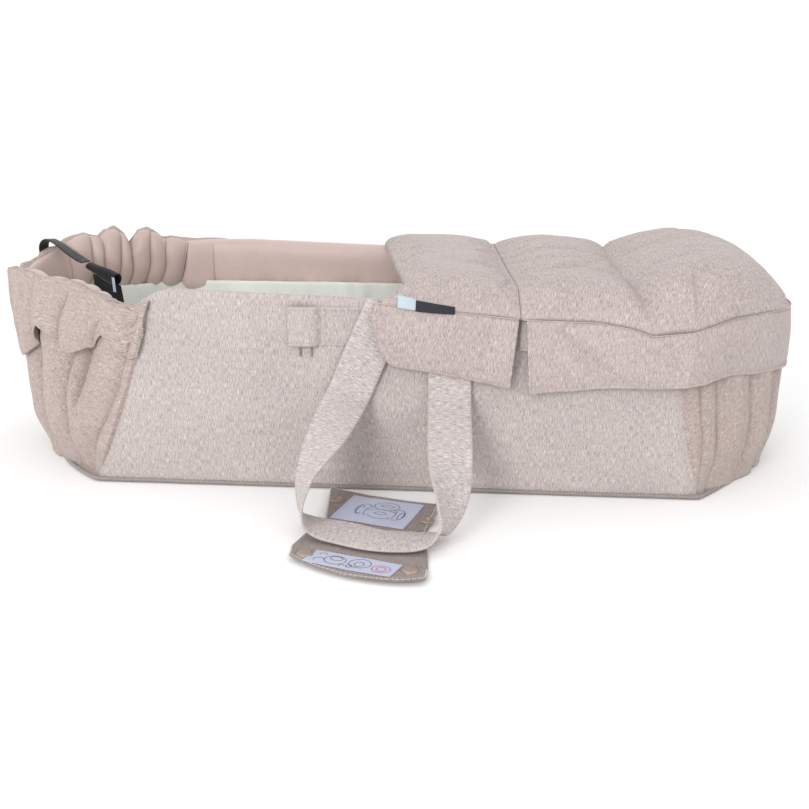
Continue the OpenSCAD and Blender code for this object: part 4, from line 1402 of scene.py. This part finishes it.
inner_near = np.vstack([near_grid[3, -5::-1], near_grid[3:-3, 3], near_grid[-4, :-4]]) + [0, 0, 0.25]
stitching("grip_wrap_near_stitches", [inner_near], mat_thread, "near_flap", 3.0, 2.0, 0.34)


def lathe(name, spot, z0, profile, material, body, slot, nodes):
    """A round pressed part turned about a vertical axis: profile is (radius, height) pairs."""
    sides = 40
    a = np.linspace(0, 2 * PI, sides, endpoint=False)
    rows = [np.stack([spot[0] + r * np.cos(a), spot[1] + r * np.sin(a), z0 + h + 0 * a],
                     axis=1) for r, h in profile]
    points = np.vstack(rows)
    faces = []
    for i in range(len(profile) - 1):
        for k in range(sides):
            m = (k + 1) % sides
            faces.append([i * sides + k, i * sides + m, (i + 1) * sides + m, (i + 1) * sides + k])
    faces.append(list(range(sides - 1, -1, -1)))
    faces.append([(len(profile) - 1) * sides + k for k in range(sides)])
    return make(name, points, faces, material, points[:, :2] * MM, body, slot, nodes)


def height_over(grid, x, y):
    """Height of a lying cloth under plan points, smoothed over a few millimetres."""
    p = grid.reshape(-1, 3)
    x, y = np.asarray(x, float), np.asarray(y, float)
    near = np.exp(-((x[..., None] - p[:, 0]) ** 2 + (y[..., None] - p[:, 1]) ** 2) / 6.0) + 1e-12
    return (near * p[:, 2]).sum(-1) / near.sum(-1)


CAP = [(6.3, 0.0), (6.6, 0.5), (6.6, 1.1), (6.1, 1.7), (5.2, 2.15), (4.2, 2.3), (3.4, 2.2), (2.6, 2.4),
       (1.2, 2.5), (0.1, 2.5)]
SOCKET = [(6.4, 0.0), (6.6, 0.6), (6.2, 1.3), (5.3, 1.6), (4.5, 1.2), (4.1, 0.8), (3.6, 1.3), (3.1, 1.5),
          (2.7, 1.0), (2.6, 0.35), (0.1, 0.3)]
for k, spot in enumerate(((-54, -302), (34, -324))):
    lathe(f"grip_snap_cap_{k + 1}", spot, float(height_over(near_grid, *spot)) - 0.1, CAP, mat_snap,
          "near_flap", "snap_plastic", ("wrap_snap_caps",))
for k, spot in enumerate(((-45, -184), (41, -224))):
    lathe(f"grip_snap_socket_{k + 1}", spot, float(height_over(far_grid, *spot)) - 0.1, SOCKET, mat_snap,
          "far_flap", "snap_plastic", ("wrap_snap_sockets",))


def label_patch(name, centre, w, d, under, body, node):
    u = np.linspace(-0.5, 0.5, 34)[:, None]
    v = np.linspace(-0.5, 0.5, 22)[None, :]
    mid = wrap_at(*centre)
    x = mid[0] + u * w * math.cos(WRAP_TURN) - v * d * math.sin(WRAP_TURN)
    y = mid[1] + u * w * math.sin(WRAP_TURN) + v * d * math.cos(WRAP_TURN)
    grid = stack(x, y, height_over(under, x, y) + 0.75)
    under_name = "grip_wrap_near_flap" if body == "near_flap" else "grip_wrap_far_flap"
    cloth_piece(name, grid, 0.5, mat_label, held="laid", on=(under_name,), body=body,
                slot="sewn_label", nodes=(node,))

    def on_label(points):
        out = []
        for a, b in points:
            p = wrap_at(centre[0] + a * w, centre[1] + b * d)
            out.append((p[0], p[1], float(height_over(under, p[0], p[1])) + 0.87))
        return np.array(out)

    return on_label


def ring_of(cx, cy, rx, ry, start=0.0, end=1.0, count=40):
    a = np.linspace(start, end, count) * 2 * PI
    return list(zip(cx + rx * np.cos(a), cy + ry * np.sin(a)))


def drawing(name, strokes, place, material, body, width=0.33):
    """Line sketches printed on a label: plain loops, bows and arrows that stand for no words."""
    points, faces = [], []
    for stroke in strokes:
        path = place(stroke)
        run = unit(np.gradient(path, axis=0))
        side = np.stack([-run[:, 1], run[:, 0], 0 * run[:, 0]], axis=1) * width
        base = len(points)
        points += (path - side).tolist() + (path + side).tolist()
        n = len(path)
        faces += [[base + i, base + i + 1, base + n + i + 1, base + n + i] for i in range(n - 1)]
    return make(name, points, faces, material, body=body)


on_near = label_patch("grip_label_near", (16, -63), 76, 27, near_grid, "near_flap", "wrap_near_label")
on_far = label_patch("grip_label_far", (-7, 42), 70, 52, far_grid, "far_flap", "wrap_far_label")
drawing("label_sketch_far", [ring_of(0.06, 0.24, 0.17, 0.15), ring_of(0.06, 0.22, 0.12, 0.07, 0.05, 0.45),
                             ring_of(0.07, 0.25, 0.09, 0.05, 0.5, 1),
                             ring_of(-0.2, 0.02, 0.1, 0.2, 0.1, 0.75),
                             ring_of(0.28, -0.02, 0.09, 0.2, -0.3, 0.35),
                             ring_of(0.05, 0.0, 0.2, 0.1, 0.05, 0.48),
                             ring_of(0.05, -0.14, 0.14, 0.1, 0.5, 1.0),
                             ring_of(-0.24, -0.02, 0.04, 0.16, 0.1, 0.9),
                             ring_of(0.33, -0.04, 0.03, 0.14), ring_of(0.05, -0.05, 0.08, 0.05),
                             ring_of(-0.12, -0.02, 0.05, 0.17, 0.2, 0.8),
                             ring_of(0.2, -0.04, 0.05, 0.17, -0.3, 0.3)], on_far, mat_ink, "far_flap")
drawing("label_sketch_near", [ring_of(-0.2, 0.0, 0.12, 0.3), ring_of(-0.2, 0.12, 0.07, 0.14),
                              ring_of(0.08, 0.05, 0.12, 0.32), ring_of(0.08, 0.0, 0.05, 0.17),
                              ring_of(-0.36, -0.18, 0.06, 0.16, 0.0, 0.6),
                              ring_of(0.0, -0.25, 0.03, 0.1)], on_near, mat_ink, "near_flap")
drawing("label_sketch_near_red", [ring_of(0.34, -0.08, 0.1, 0.26), ring_of(0.34, -0.08, 0.05, 0.16),
                                  ring_of(-0.38, 0.26, 0.04, 0.1, 0.0, 0.6)],
        on_near, mat_ink_red, "near_flap", 0.4)
drawing("label_sketch_near_green", [ring_of(-0.08, -0.3, 0.03, 0.08, 0.0, 0.7)],
        on_near, mat_ink_green, "near_flap")


# ---- Belt loops -----------------------------------------------------------------------------
def belt_loop(name, flat_end, raised_end, side, node):
    """A sewn band: flat from one end, standing away from the wall at the other."""
    s = 1 if raised_end > flat_end else -1
    x = np.linspace(flat_end, raised_end, 90)[:, None]
    w = np.linspace(0, 1, 26)[None, :]
    from_knee = np.clip((x - (raised_end - s * 30)) / (s * 30), 0, 1)
    stand = 1.3 + 5.2 * np.sin(PI * from_knee) ** 0.55
    stand = stand + 0.25 * value_noise(x / 9, w * 3, 141) + 0.6 * bump_curve(from_knee, 0.02, 0.05) * -1
    z = 140 + 36 * w + 0.4 * value_noise(x / 14, w, 142)
    grid = stack(x + 0 * w, side * (HALF_W + 0.6 + stand), z + 0 * x)
    weave = stack(x * MM + 0 * w, z * MM + 0 * x)
    flip = (side > 0) == (s > 0)
    under = "front_panel_cloth" if side < 0 else "rear_panel_cloth"
    obj = cloth_piece(name, grid, 1.5, mat_panel, weave=weave, flip=flip, on=(under,), body="cot",
                      slot="heather_fabric", nodes=(node,))
    lift = grid + [0, side * 0.3, 0]
    knee = int(np.argmin(np.abs(x[:, 0] - (raised_end - s * 31))))
    rows = [lift[knee, 1:-1], lift[knee - 6, 1:-1], lift[-2, 1:-1], lift[2, 1:-1],
            lift[3:-2, 2], lift[3:-2, -3]]
    stitching(name + "_stitches", rows, mat_thread, "cot", 2.8, 2.0, 0.34)
    return obj


for side, place in ((-1, "front"), (1, "rear")):
    belt_loop(place + "_belt_band_left", -21, -94, side, place + "_belt_loop_left")
    belt_loop(place + "_belt_band_right", 76, 147, side, place + "_belt_loop_right")
    # Each slit is drawn as a dark flattened tube: painted shade in the slit's opening.
    for k, x0 in enumerate((-82.0, -71.5)):
        slit = stack(np.full(12, x0), side * (HALF_W + 1.6) + 0 * np.arange(12),
                     np.linspace(129.5, 138, 12))
        tube_piece(f"{place}_belt_slit_{k + 1}", slit, 0.8 + 0.5 * np.sin(np.linspace(0, PI, 12)),
                   mat_dark_thread_and_slit_shade, sides=8, flat=0.6, body="cot")
    u_path = stack(-80 + 7.0 * np.linspace(0, 1, 16), side * (HALF_W + 1.9) + 0 * np.arange(16),
                   130.5 - 2.5 * np.sin(np.linspace(0, PI, 16)))
    stitching(place + "_belt_slit_stitches", [u_path], mat_thread, "cot", 2.2, 1.6, 0.3)

# ---- Tether at the head end -----------------------------------------------------------------
PIN = np.array([-338.0, 12.0, 184.0])
TETHER_ROUTE = np.array([(-396, 46, 180), (-399, 46, 192), (-398, 45.5, 201.5), (-391, 43.5, 206),
                         (-379, 38, 202), (-365, 30, 195), (-351, 22, 189), (-342, 15.5, 186.5)])
tape_route = spline(TETHER_ROUTE, 70)
tape_run = unit(np.gradient(tape_route, axis=0))
tape_side = unit(np.array([0.5, 1.0, 0.0]) - tape_run * (tape_run @ np.array([0.5, 1.0, 0.0]))[:, None])
tape_w = np.linspace(-1, 1, 9)
bunch = 6.4 - 1.0 * bump_curve(np.linspace(0, 1, 70), 1.0, 0.25)
tape_grid = tape_route[:, None] + tape_side[:, None] * (tape_w[None, :] * bunch[:, None])[..., None]
tape_grid[..., 2] += 0.9 * np.sin(np.linspace(0, 9, 70))[:, None] * tape_w[None, :]
cloth_piece("tether_tape", tape_grid, 1.3, mat_webbing, flip=True, held="hung",
            on=("head_gathered_cloth",), body="cot", slot="black_webbing",
            nodes=("tether_webbing",))


def sleeve_grid():
    """An open tube of felt, squashed where it is sewn to the tape and flared at its mouth."""
    along = np.linspace(0, 1, 44)[:, None]
    a = np.linspace(0, 2 * PI, 41)[None, :]
    way = unit(np.array([math.cos(math.radians(-25)) * 0.95, math.sin(math.radians(-25)) * 0.95, -0.30]))
    side = unit(np.cross(way, [0, 0, 1.0]))
    rise = np.cross(side, way)
    wide = 4.6 + 1.6 * along + 0.4 * value_noise(along * 5, a * 1.5, 151)
    tall = 3.0 + 3.0 * ease(0.0, 0.75, along)
    centre = PIN + [2, -1, 0] + way * 40.0 * along[..., None]
    grid = centre + side * (wide * np.cos(a))[..., None] + rise * (tall * np.sin(a))[..., None]
    grid[:, -1] = grid[:, 0]
    return grid, way, side, rise


sleeve, sleeve_way, sleeve_side, sleeve_rise = sleeve_grid()
cloth_piece("tether_sleeve_felt", sleeve, 1.0, mat_black, flip=True, held="folded",
            on=("tether_tape",), body="tether",
            slot="black_webbing", nodes=("tether_sleeve",))
flap_u = np.linspace(0, 1, 30)[:, None]
flap_w = np.linspace(0, 1, 30)[None, :]
flap_x = PIN[0] + 6 + 34 * flap_u + 3.0 * (1 - flap_w) * flap_u
flap_y = PIN[1] - 3.5 - 15 * flap_u + 1.6 * np.sin(PI * flap_w)
flap_y = flap_y + 0.6 * value_noise(flap_u * 4, flap_w * 3, 152)
flap_z = PIN[2] - 52 + 43 * flap_w - 9.5 * flap_u * flap_w
flap_grid = stack(flap_x, flap_y, flap_z + 0 * flap_u)
cloth_piece("tether_flap_felt", flap_grid, 1.5, mat_black, held="hung", on=("tether_sleeve_felt",),
            body="tether", slot="black_webbing", nodes=("tether_flap",))
bars = [tape_route[k] + tape_side[k] * tape_w[:, None] * 4.6 + [0, 0, 1.1] for k in (-5, -9)]
stitching("tether_bartack", bars, mat_thread_black, "cot", 1.4, 1.8, 0.5, 0.8)
edge_x = PIN + [2, -1, 0] + sleeve_way * 39.5
label_u = np.linspace(-0.1, 0.9, 12)[:, None]
label_w = np.linspace(0, 1, 8)[None, :]
label_grid = (edge_x + sleeve_side * 6.8 + sleeve_rise * 2.0
              + np.array([1.0, -0.5, 0]) * (3.2 * label_w)[..., None]
              + np.array([0.05, 0.0, -1.0]) * (15.0 * label_u)[..., None])
cloth_piece("tether_label_ribbon", label_grid, 0.5, mat_label, flip=True, held=None, body="tether",
            slot="sewn_label", nodes=("tether_label",))
